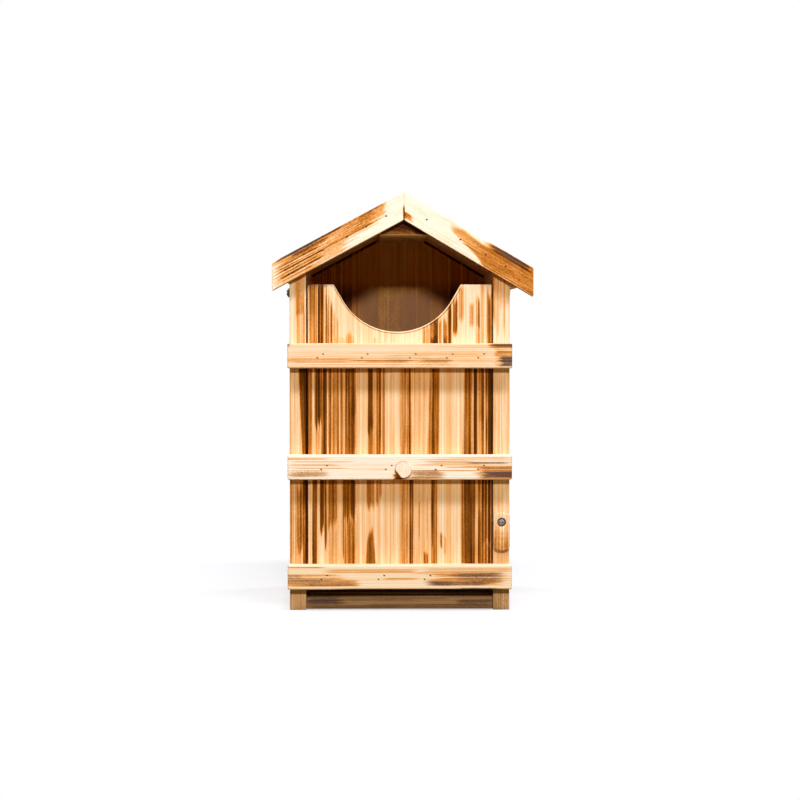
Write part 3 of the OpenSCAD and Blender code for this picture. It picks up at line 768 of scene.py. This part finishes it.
def makeBack(spec):
    low, high = corners(spec["node"])

    # heights are stretched to the roof's underside
    def gable(grid):
        grid[:, :, 2] = grid[:, :, 2] / high[2] * roofUnder(grid[:, :, 0])
        return grid

    piece, verts = board({**spec, "low": low, "high": high, "shape": gable, "kept": (ridgeX,)})
    rows = looseStrokes(*spec["loose"], spec["looseSeed"])
    x, z = verts[:, 0] - middleX, verts[:, 2]
    outside = smooth(*spec["outside"], (verts[:, 1] - low[1]) / (high[1] - low[1]))
    inside = strokes(x, z, spec["staves"], spec["staveSeed"])
    inside = inside * (1 - smooth(*spec["jointHalf"], np.abs(x - spec["joint"] * mm)))
    # paler above the top of the painted pool of light
    inside = inside - spec["upperPale"] * smooth(*spec["upperLine"], z)
    underRoof = smooth(*spec["roofLine"], roofUnder(verts[:, 0]) - z) * smooth(*spec["besideBeam"], np.abs(x))
    inside = np.maximum(inside, spec["roofShadow"] * underRoof)  # painted shadow lines where the roof panels meet the wall
    # painted shade beside the pool of light, below its top
    unlit = smooth(*spec["lit"], np.abs(x))
    lower = 1 - smooth(*spec["shadeLine"], z)
    inside = inside + spec["unlitShade"] * unlit * lower
    tint(piece, "scorch", strokes(x, z, rows, spec["outerSeed"]) * outside + inside * (1 - outside))
    tint(piece, "outer", outside)
    fromStave = np.abs(x - spec["paleStaveAt"]) - spec["paleStaveHalf"]
    poolGrey = spec["poolGrey"] - spec["unlitGrey"] * unlit
    poolGrey = poolGrey - spec["paleStave"] * smooth(*spec["paleStaveEdge"], fromStave)
    tint(piece, "soot", poolGrey * (1 - outside) * lower)  # painted light: greyer within the pool of light, below its top
    dress(piece, pine("backPine", {**spec["wood"], "face": low[1]}), "box", spec["node"])


makeBack(backSpec)

# floor board: its front edge shows under the door, grain across
floorSpec = {"name": "floorBoard", "node": "floor_board", "run": 0, "ease": 0.8, "step": (3.0, 8.0, 1.5),
             "scorchSeed": 39, "sootSeed": 40, "weathered": 0.1,
             "wood": {**levelGrain, "stave": 0.3, "pith": 0.03, "rings": 0.0035, "seed": 37.0, "tone": 0.0,
                      "colours": footColours},
             # strokes: height, half width, from and to right of the middle, strength
             "scorch": [(18, 3, -130, 130, 0.55), (9, 3.5, -110, -70, 0.5), (12, 0.8, -70, 60, 0.4),
                        (5, 0.8, -40, 100, 0.4), (8, 3, 70, 112, 0.5), (2, 1.4, -113, 113, 0.45)],
             "soot": [(10, 4, -112, -74, 0.5), (7, 3, 74, 112, 0.5), (11, 1, -60, 20, 0.4)]}


def makeFloor(spec):
    low, high = corners(spec["node"])
    piece, verts = board({**spec, "low": low, "high": high})
    across, along = verts[:, 2], verts[:, 0] - middleX
    burn = strokes(across, along, spec["scorch"], spec["scorchSeed"])
    tint(piece, "scorch", spec["weathered"] + burn)
    tint(piece, "soot", strokes(across, along, spec["soot"], spec["sootSeed"]))
    dress(piece, pine("floorPine", {**spec["wood"], "face": low[1]}), "box", spec["node"])


makeFloor(floorSpec)
print("back and floor done")

# roof panels: staves from ridge to eave, square cut at the eave and plumb at the ridge
roofSet = {"ease": 1.2, "step": (4.0, 2.4, 4.0), "loose": (38, 0, 250, -20, 175), "upper": (0.2, 0.8),
           "within": (0.112, 0.118), "eaveChar": 0.16, "withinShade": 0.08,
           "behindBargeShade": 0.62, "frontDepth": (0.015, 0.04), "looseSeed": 5,
           "wood": {"across": axisY, "stave": 0.035, "pith": 0.022, "rings": 0.0047, "tone": 0.12,
                    "colours": doorColours}}
roofSpecs = [
    {"name": "leftRoofPanel", "node": "left_roof_panel", "slope": leftSlope, "side": -1, "seed": 41.0},
    {"name": "rightRoofPanel", "node": "right_roof_panel", "slope": rightSlope, "side": 1, "seed": 43.0}]


def makeRoof(spec):
    low, high = corners(spec["node"])
    pitch = math.atan(spec["slope"])
    side = spec["side"]
    seed = int(spec["seed"])
    # thickness from the height of the panel over the ridge; length from the ridge to the eave's lower corner
    thick = (high[2] - ridgeZ) * math.cos(pitch)
    eaveX = (low[0] if side < 0 else high[0]) - side * thick * math.sin(pitch)
    length = abs(eaveX - ridgeX) / math.cos(pitch)

    # flat panel (down the slope, depth, up from its underside) turned to the roof's pitch
    def pitchIt(grid):
        down, up = grid[:, :, 0], grid[:, :, 2]
        down = down - up * math.tan(pitch) * (1 - down / length)
        x = ridgeX + side * (down * math.cos(pitch) + up * math.sin(pitch))
        z = ridgeZ - down * math.sin(pitch) + up * math.cos(pitch)
        return np.stack([x, grid[:, :, 1], z], -1)

    piece, verts = board({**roofSet, "name": spec["name"], "run": 1, "low": (0, low[1], 0),
                          "high": (length, high[1], thick), "shape": pitchIt})
    down, depth = np.abs(verts[:, 0] - ridgeX) / math.cos(pitch), verts[:, 1] - low[1]
    upper = smooth(*roofSet["upper"], (verts[:, 2] - roofUnder(verts[:, 0])) * math.cos(pitch) / thick)
    within = 1 - smooth(*roofSet["within"], np.abs(verts[:, 0] - middleX))
    front = roofSet["behindBargeShade"] * (1 - smooth(*roofSet["frontDepth"], depth))  # painted shadow behind the bargeboards
    # painted shade on the underside inside the walls; the eave outside keeps only its base tone
    under = roofSet["eaveChar"] + within * (roofSet["withinShade"] + front)
    over = strokes(depth, down, looseStrokes(*roofSet["loose"], seed), seed + roofSet["looseSeed"])
    tint(piece, "scorch", over * upper + under * (1 - upper))
    slopeWay = (side * math.cos(pitch), 0.0, -math.sin(pitch))
    upWay = (side * math.sin(pitch), 0.0, math.cos(pitch))
    roofFace = float(np.dot(upWay, (ridgeX, 0, ridgeZ))) + thick  # place of the upper face along upWay
    wood = {**roofSet["wood"], "deep": upWay, "grain": slopeWay, "face": roofFace, "seed": spec["seed"]}
    dress(piece, pine(spec["name"] + "Pine", wood), "box", spec["node"])


for roofSpec in roofSpecs:
    makeRoof(roofSpec)

# ridge beam: its end grain shows under the mitre
beamSpec = {"name": "ridgeBeam", "node": "ridge_beam", "run": 0, "ease": 0.8, "step": (1.2, 6.0, 1.0),
            "wood": {"across": axisZ, "deep": axisX, "grain": axisY, "stave": 0.6, "pith": -0.012,
                     "rings": 0.0042, "face": 0.0, "seed": 0.0, "tone": 0.0, "contrast": 0.3,
                     "lateOnBare": 0.06, "threadOnBare": 0.0, "hair": 0.0, "colours": beamColours},
            # painted shadow and shade on the end, painted light on the underside
            "shadowDepth": (0.012, 0.0084), "shadowRight": (-0.008, 0.001), "rimShadow": (0.0026, 0.0014),
            "endShadeLeast": 0.5, "endShadeMore": 0.36, "endShadeRise": (0.001, 0.01), "litUndersideRise": (0.0002, 0.0012)}


def makeBeam(spec):
    low, high = corners(spec["node"])

    # flat below, two slopes above: heights stretch from the flat underside to the roof
    def slopes(grid):
        share = (grid[:, :, 2] - low[2]) / (high[2] - low[2])
        grid[:, :, 2] = low[2] + share * (roofUnder(grid[:, :, 0]) - low[2])
        return grid

    piece, verts = board({**spec, "low": low, "high": high, "shape": slopes, "kept": (ridgeX,)})
    # painted shade: the end darkens towards the mitre, with a painted shadow under the right bargeboard and
    # along the roof's edge; the underside is left bare as painted light
    under, rise = roofUnder(verts[:, 0]) - verts[:, 2], verts[:, 2] - low[2]
    bargeShadow = smooth(*spec["shadowDepth"], under) * smooth(*spec["shadowRight"], verts[:, 0] - ridgeX)
    bargeShadow = np.maximum(bargeShadow, smooth(*spec["rimShadow"], under))
    endShade = spec["endShadeLeast"] + spec["endShadeMore"] * smooth(*spec["endShadeRise"], rise)
    tint(piece, "scorch", np.maximum(endShade, bargeShadow) * smooth(*spec["litUndersideRise"], rise))
    dress(piece, pine("beamPine", spec["wood"]), "box", spec["node"])


makeBeam(beamSpec)
print("roof done")

# bargeboards: strips along the gable with plumb ends, mitred at the ridge
bargeSet = {"ease": 1.2, "step": (1.6, 3.0, 0.7), "mitreChar": 0.9, "mitreHalf": (0.0005, 0.0013),
            "mitreTop": (0.013, 0.019), "underShade": 0.9, "underTop": (0.0001, 0.0008),
            "underDepth": (0.0007, 0.0016), "sootSeed": 7,
            "wood": {"deep": axisY, "stave": 0.9, "pith": 0.03, "rings": 0.0026, "tone": 0.0,
                     "linesAtEdge": 1.6, "lateOnBare": 0.02, "colours": bargeColours}}
# strokes: plumb height above the lower edge, half width, from and to right of the middle, strength.
# flame: the right board is browned between a lower and an upper line of such (place, height) points
bargeSpecs = [
    {"name": "leftBargeboard", "node": "left_bargeboard", "slope": leftSlope, "side": -1, "seed": 53.0,
     "slot": "scorched_pine", "contrast": 0.6, "mottle": 3.6,
     "scorch": [(17, 18, -147, -96, 0.3), (25, 9.5, -112, -30, 0.42), (27, 7, -40, -18, 0.3),
                (9, 7.5, -106, -66, 0.24), (32.6, 1.6, -145, -62, 0.78), (33, 1.0, -66, -22, 0.5),
                (23.4, 1.2, -144, -94, 0.84), (19.8, 0.7, -143, -98, 0.6), (16.6, 1.2, -145, -90, 0.84),
                (12.6, 0.7, -143, -92, 0.6), (8.9, 1.2, -144, -92, 0.82), (4.4, 0.7, -141, -104, 0.56),
                (28, 2.6, -136, -90, 0.62), (27, 0.7, -104, -44, 0.56), (22, 0.7, -100, -34, 0.56),
                (18, 0.6, -96, -50, 0.5), (13, 0.6, -84, -28, 0.3), (9, 0.6, -90, -50, 0.3),
                (28, 0.6, -60, -20, 0.4)],
     "soot": [(32.2, 1.8, -143, -96, 0.55), (28.6, 1.6, -130, -96, 0.3)]},
    {"name": "rightBargeboard", "node": "right_bargeboard", "slope": rightSlope, "side": 1, "seed": 59.0,
     "slot": "pale_pine", "contrast": 0.18, "mottle": 5.0,
     "flame": {"lower": [(60, 21), (92, 9), (103, -3), (160, -3)],
               "upper": [(60, 26), (77, 31.5), (90, 27), (99, 27), (121, 32.5), (130, 40), (160, 40)],
               "strength": [(60, 0.36), (90, 0.48), (110, 0.6)],
               "wave": 0.9, "waveLength": 0.013, "begins": (58, 66), "lowerSoft": (-1.8, 2.2),
               "upperSoft": (-2, 3)},
     "scorch": [(7, 3.4, 2, 15, 0.5), (6, 3, 2, 8, 0.74), (14, 0.5, 76, 94, 0.7), (30, 4, 108, 158, 0.84)],
     "soot": [(31.8, 2.2, 112, 150, 0.74), (28.4, 2.2, 122, 146, 0.5)]}]


def makeBarge(spec):
    low, high = corners(spec["node"])
    side = spec["side"]
    seed = int(spec["seed"])
    pitch = math.atan(spec["slope"])
    plumb = high[2] - low[2] - (high[0] - low[0]) * spec["slope"]
    footLine = high[2] - plumb  # lower edge at the ridge

    # a level strip, let down with the distance from the ridge
    def lean(grid):
        grid[:, :, 2] += footLine - np.abs(grid[:, :, 0] - ridgeX) * spec["slope"]
        return grid

    piece, verts = board({**bargeSet, "name": spec["name"], "run": 0, "low": (low[0], low[1], 0),
                          "high": (high[0], high[1], plumb), "shape": lean})
    fromRidge = np.abs(verts[:, 0] - ridgeX)
    across = verts[:, 2] - footLine + fromRidge * spec["slope"]
    along = verts[:, 0] - middleX
    burn = strokes(across, along, spec["scorch"], seed)
    if "flame" in spec:
        flame = spec["flame"]
        lower, upper, depth = (np.interp(along / mm, *zip(*flame[k])) for k in ("lower", "upper", "strength"))
        wave = flame["wave"] * ripple(along / flame["waveLength"], seed)
        tongue = smooth(*flame["begins"], along / mm + wave)
        tongue = tongue * smooth(*flame["lowerSoft"], across / mm - lower + wave)
        burn = np.maximum(burn, depth * tongue * smooth(*flame["upperSoft"], upper - across / mm + wave))
    mitre = (1 - smooth(*bargeSet["mitreHalf"], fromRidge)) * (1 - smooth(*bargeSet["mitreTop"], across))
    burn = np.maximum(burn, bargeSet["mitreChar"] * mitre)  # dark lower half of the mitre
    shaded = 1 - smooth(*bargeSet["underTop"], across)
    shaded = shaded * smooth(*bargeSet["underDepth"], verts[:, 1] - low[1])
    tint(piece, "scorch", np.maximum(burn, bargeSet["underShade"] * shaded))  # painted shade on the underside
    tint(piece, "soot", strokes(across, along, spec["soot"], seed + bargeSet["sootSeed"]))
    wood = {**bargeSet["wood"], "across": (side * math.sin(pitch), 0.0, math.cos(pitch)),
            "grain": (side * math.cos(pitch), 0.0, -math.sin(pitch)), "face": low[1], "seed": spec["seed"],
            "contrast": spec["contrast"], "mottle": spec["mottle"]}
    dress(piece, pine(spec["name"] + "Pine", wood), "box", spec["node"])


for bargeSpec in bargeSpecs:
    makeBarge(bargeSpec)
print("bargeboards done")

# knob: a dowel stub with an eased end, turned around its own axis; a slanting cut low on the left of its end
knobSpec = {"name": "doorKnob", "node": "door_knob", "ease": 0.8, "sides": 96, "easeParts": 6,
            "endRings": (0.06, 0.96, 16), "cutFrom": 7.3, "cutWay": (-0.78, -0.63), "cutSlope": 1.4,
            "bareChar": 0.02, "cutShade": 0.8, "cutEdge": (0.0001, 0.0009), "sideShade": 0.8, "sideRim": 0.0005,
            "upperLeft": (-0.1, 0.7), "elsewhere": 0.2,
            "wood": {"across": axisX, "deep": axisZ, "grain": axisY, "stave": 0.9, "pith": -0.004,
                     "rings": 0.0028, "seed": 0.0, "tone": 0.0, "contrast": 0.4, "lateOnBare": 0.02,
                     "colours": midStripColours}}


def makeKnob(spec):
    low, high = corners(spec["node"])
    radius, ease, length = (high[0] - low[0]) / 2, spec["ease"] * mm, high[1] - low[1]
    turn = np.linspace(0, np.pi / 2, spec["easeParts"])
    flat = np.linspace(*spec["endRings"]) * (radius - ease)
    # distance from the axis and place along it, from the end's middle out and back to the seat
    away = np.concatenate([flat, radius - ease + ease * np.sin(turn), [radius, radius]])
    place = np.concatenate([0 * flat, ease * (1 - np.cos(turn)), [length / 2, length]])
    angle = np.linspace(0, 2 * np.pi, spec["sides"], endpoint=False)
    x, z = away[:, None] * np.cos(angle), away[:, None] * np.sin(angle)
    cutX, cutZ = spec["cutWay"]
    past = np.maximum(x * cutX + z * cutZ - spec["cutFrom"] * mm, 0)  # reach into the cut
    y = np.minimum(low[1] + np.maximum(place[:, None], past * spec["cutSlope"]), high[1])
    middle = (low + high) / 2
    piece, _ = skinObject(spec["name"], np.stack([middle[0] + x, y, middle[2] + z], -1))
    upperLeft = smooth(*spec["upperLeft"], np.sin(angle) - np.cos(angle))
    around = spec["elsewhere"] + (1 - spec["elsewhere"]) * upperLeft
    side = (smooth(radius - spec["sideRim"], radius, away)[:, None] * around).ravel()
    cut = smooth(*spec["cutEdge"], past.ravel())
    # painted shade on the slanting cut, and a painted shadow line round the upper left of the side
    tint(piece, "scorch", spec["bareChar"] + np.maximum(spec["cutShade"] * cut, spec["sideShade"] * side))
    dress(piece, pine("knobPine", {**spec["wood"], "face": middle[2]}), "door", spec["node"])


makeKnob(knobSpec)

# turn button: round-ended slip with eased edges and a seat sunk around its screw
buttonSpec = {"name": "turnButton", "node": "turn_button", "ease": 1.3, "backEase": 0.4, "endRadius": 18,
              "seatRadius": 5.2, "seatDepth": 2.6, "seatLip": 0.4, "seatFlare": 1.06, "holeRadius": 2.05,
              "sides": 96, "frontShares": (0.25, 0.5, 0.75, 1.0),
              "bareChar": 0.15, "lowerChar": 0.4, "lower": (0.01, -0.03), "seatShade": 0.75,
              "sunk": (0.0003, 0.0012), "seatReach": 1.02,
              "wood": {**uprightGrain, "stave": 0.9, "pith": 0.03, "rings": 0.0035, "seed": 67.0,
                       "tone": 0.0, "contrast": 0.8, "mottle": 2.0, "colours": doorColours}}


def makeButton(spec):
    low, high = corners(spec["node"])
    screwLow, screwHigh = corners("button_screw")
    centre = (screwLow + screwHigh) / 2
    endRadius, ease = spec["endRadius"] * mm, spec["ease"] * mm
    angle = np.linspace(0, 2 * np.pi, spec["sides"], endpoint=False)
    wayX, wayZ = np.cos(angle), np.sin(angle)

    # reach of the outline from the screw in each direction: the nearer of the straight side and the round end
    def outline(inset):
        half = (high[0] - low[0]) / 2 - inset
        side = half / np.maximum(np.abs(wayX), 1e-6)
        endZ = np.where(wayZ > 0, high[2] - inset - endRadius, low[2] + inset + endRadius) - centre[2]
        back = wayZ * endZ
        end = back + np.sqrt(np.maximum(back ** 2 - endZ ** 2 + endRadius ** 2, 0))
        return np.minimum(side, end)

    # rings from the hole at the back, round the edge and over the front into the seat and back to the hole
    turn = np.linspace(0, np.pi / 2, arcParts + 1)
    seat, hole = spec["seatRadius"] * mm, spec["holeRadius"] * mm
    seatFloor = low[1] + spec["seatDepth"] * mm
    full = np.ones(spec["sides"])
    front = outline(ease)
    backEase = ease * spec["backEase"]
    rows = [(full * hole, high[1]), (outline(backEase), high[1]), (outline(0), high[1] - backEase)]
    rows += [(outline(ease * (1 - math.cos(t))), low[1] + ease * (1 - math.sin(t))) for t in turn]
    rows += [(front + (seat * spec["seatFlare"] - front) * share, low[1]) for share in spec["frontShares"]]
    rows += [(full * seat, low[1] + spec["seatLip"] * mm), (full * seat, seatFloor),
             (full * hole, seatFloor), (full * hole, high[1])]
    reach = np.stack([r for r, _ in rows])
    depth = np.broadcast_to(np.array([d for _, d in rows])[:, None], reach.shape)
    grid = np.stack([centre[0] + reach * wayX, depth, centre[2] + reach * wayZ], -1)
    piece, verts = skinObject(spec["name"], grid, capped=False)
    lower = smooth(*spec["lower"], verts[:, 2] - centre[2])
    nearScrew = np.hypot(verts[:, 0] - centre[0], verts[:, 2] - centre[2]) < seat * spec["seatReach"]
    sunk = smooth(*spec["sunk"], verts[:, 1] - low[1]) * nearScrew
    # painted shade in the sunk seat around the screw
    tint(piece, "scorch", np.maximum(spec["bareChar"] + spec["lowerChar"] * lower, spec["seatShade"] * sunk))
    wood = {**spec["wood"], "face": low[1]}
    dress(piece, pine("buttonPine", wood), "button", spec["node"])


makeButton(buttonSpec)
print("knob and button done")

# nail heads: small oval discs, one skin for each board's nails. Rings from the rim's foot to the dished
# middle, as shares of the oval and heights in metres; set is the depth of the solid nail below its board
nailSet = {"sides": 20, "share": (1.0, 1.0, 0.8, 0.35), "rise": (0.0009, -0.00005, -0.00016, -0.00012),
           "set": 0.0005, "frontDepth": 0.0002, "spread": 0.0026}
battenNail = {"body": "door", "size": (1.3, 0.75), "tilt": -28}
bargeNail = {"body": "box", "size": (1.25, 1.05), "tilt": 20}
nailSpecs = [
    {"name": "topBattenNails", "node": "top_batten_nails", **battenNail},
    {"name": "middleBattenNails", "node": "middle_batten_nails", **battenNail},
    {"name": "bottomBattenNails", "node": "bottom_batten_nails", **battenNail},
    {"name": "leftBargeboardNails", "node": "left_bargeboard_nails", **bargeNail},
    {"name": "rightBargeboardNails", "node": "right_bargeboard_nails", **bargeNail}]
nailSteel = steel("nailSteel", {"grain": 900.0, "dark": screen(20, 12, 8), "light": screen(46, 32, 24),
                                "metallic": 0.1, "rough": 0.7})


# middles of a node's nails: the points of their fronts, gathered around one point after another
def nailPlaces(node):
    points = np.array([v.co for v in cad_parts[node].data.vertices])
    front = points[points[:, 1] < points[:, 1].min() + nailSet["frontDepth"]]
    places = []
    while len(front):
        near = np.hypot(front[:, 0] - front[0, 0], front[:, 2] - front[0, 2]) < nailSet["spread"]
        group = front[near]
        places.append((group.min(0) + group.max(0)) / 2)
        front = front[~near]
    return np.array(places)


# each head is a tilted oval carried through its rings
def makeNails(spec):
    angle = np.linspace(0, 2 * np.pi, nailSet["sides"], endpoint=False)
    tilt = math.radians(spec["tilt"])
    wide, tall = (s * mm for s in spec["size"])
    flatX = wide * np.cos(angle) * math.cos(tilt) - tall * np.sin(angle) * math.sin(tilt)
    flatZ = wide * np.cos(angle) * math.sin(tilt) + tall * np.sin(angle) * math.cos(tilt)
    share, rise = (np.array(nailSet[k]) for k in ("share", "rise"))
    quads = ringFaces(len(share), len(angle))
    caps = ringCaps(len(share), len(angle))
    verts, faces = [], []
    for number, place in enumerate(nailPlaces(spec["node"])):
        x = place[0] + share[:, None] * flatX
        z = place[2] + share[:, None] * flatZ
        y = np.broadcast_to((place[1] - nailSet["set"] + rise)[:, None], x.shape)
        grid = np.stack([x, y, z], -1).reshape(-1, 3)
        way = -1 if signedVolume(grid, quads, caps) < 0 else 1
        shift = number * len(grid)
        faces += [face[::way] for face in (quads + shift).tolist()]
        faces += [(cap + shift).tolist()[::way] for cap in caps]
        verts.append(grid)
    piece = newMesh(spec["name"], np.concatenate(verts).tolist(), faces)
    dress(piece, nailSteel, spec["body"], spec["node"])


for nailSpec in nailSpecs:
    makeNails(nailSpec)

# the screws keep their own solids and get worn steel
screwSteel = steel("screwSteel", {"grain": 500.0, "dark": screen(66, 64, 60), "light": screen(160, 158, 152),
                                  "metallic": 0.6, "rough": 0.35})
pivotSteel = steel("pivotSteel", {"grain": 500.0, "dark": screen(38, 30, 16), "light": screen(82, 66, 36),
                                  "metallic": 0.3, "rough": 0.5})
screwFinishes = {"left_pivot_screw": pivotSteel, "right_pivot_screw": pivotSteel, "button_screw": screwSteel}
for screwNode, finish in screwFinishes.items():
    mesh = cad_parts[screwNode].data
    mesh.materials.clear()
    mesh.materials.append(finish)
print("nails and screws done")


# rays that come from the camera, or from a mirror or glass
def seenRays(start):
    kinds = ("Is Camera Ray", "Is Glossy Ray", "Is Transmission Ray")
    camera, glossy, clear = (start.node("ShaderNodeLightPath", {}, {}, k) for k in kinds)
    return (camera + glossy + clear).clamp()


# pale floor that is nearly white where it is seen, and keeps the box's shadow near the box.
# clear: its own white near the box; fade: distances between which it becomes wholly white
stageSet = {"half": 6.0, "white": (0.93, 0.93, 0.93), "bounce": (0.16, 0.118, 0.05), "clear": 0.5,
            "fade": (0.5, 1.0)}


def makeStage(spec):
    half = spec["half"]
    square = [(-half, -half, 0), (half, -half, 0), (half, half, 0), (-half, half, 0)]
    floor = newMesh("paleFloor", square, [(0, 1, 2, 3)])
    material, start, end = newTree("paleFloor")
    white, dim = ((*spec[k], 1) for k in ("white", "bounce"))
    bright = start.node("ShaderNodeEmission", {}, {"Color": (1, 1, 1, 1), "Strength": 1.0})
    point = start.node("ShaderNodeTexCoord", {}, {}, "Object")
    right, back = point.along(axisX), point.along(axisY)
    share = spec["clear"] + (1 - spec["clear"]) * (right * right + back * back).root().step(*spec["fade"])
    seen = seenRays(start)
    lit = start.node("ShaderNodeBsdfDiffuse", {}, {"Color": seen.mix(dim, white)})
    mixed = start.node("ShaderNodeMixShader", {}, {0: seen * share, 1: lit, 2: bright})
    start.tree.links.new(mixed.socket, end.inputs["Surface"])
    floor.data.materials.append(material)


# soft light: a dim warm sky all round, a warm lamp in front, a long cooler one high above, and side fills.
# Lamps: distance from the aim, turn to the right of the front and rise above the level in degrees
fill = {"power": 38.0, "colour": (1.0, 1.0, 1.0), "wide": 1.2, "tall": 1.2, "away": 3.0, "rise": 30}
lightSet = {"sky": 0.078, "skyColour": (1.0, 0.66, 0.22), "aim": (0, 0, 0.25), "lamps": [
    {"name": "frontLamp", "power": 47.0, "colour": (1.0, 0.893, 0.764), "wide": 0.3, "tall": 0.16,
     "away": 3.0, "turn": 0.5, "rise": 18.7},
    {"name": "highLamp", "power": 116.0, "colour": (0.7, 0.785, 1.0), "wide": 2.4, "tall": 0.4,
     "away": 3.0, "turn": 8, "rise": 58},
    {"name": "leftFill", "turn": -118, **fill}, {"name": "rightFill", "turn": 118, **fill}]}


def makeLight(spec):
    world = bpy.data.worlds.new("studio")
    scene.world = world
    world.use_nodes = True
    world.node_tree.nodes.clear()
    start = Wire(world.node_tree, None)
    sky = start.node("ShaderNodeBackground", {}, {"Color": (*spec["skyColour"], 1), "Strength": spec["sky"]})
    clear = start.node("ShaderNodeBackground", {}, {"Color": (1, 1, 1, 1), "Strength": 1.0})
    mixed = start.node("ShaderNodeMixShader", {}, {0: seenRays(start), 1: sky, 2: clear})
    end = world.node_tree.nodes.new("ShaderNodeOutputWorld")
    world.node_tree.links.new(mixed.socket, end.inputs["Surface"])
    for lampSpec in spec["lamps"]:
        turn, rise = math.radians(lampSpec["turn"]), math.radians(lampSpec["rise"])
        way = np.array([math.sin(turn) * math.cos(rise), -math.cos(turn) * math.cos(rise), math.sin(rise)])
        data = bpy.data.lights.new(lampSpec["name"], "AREA")
        data.energy = lampSpec["power"]
        data.color = lampSpec["colour"]
        data.shape = "RECTANGLE"
        data.size = lampSpec["wide"]
        data.size_y = lampSpec["tall"]
        lamp = newObject(lampSpec["name"], data)
        lamp.location = np.array(spec["aim"]) + way * lampSpec["away"]
        lamp.rotation_euler = Vector(-way).to_track_quat("-Z", "Y").to_euler()


makeStage(stageSet)
makeLight(lightSet)
scene.view_settings.view_transform = "Standard"
print("floor and light done")
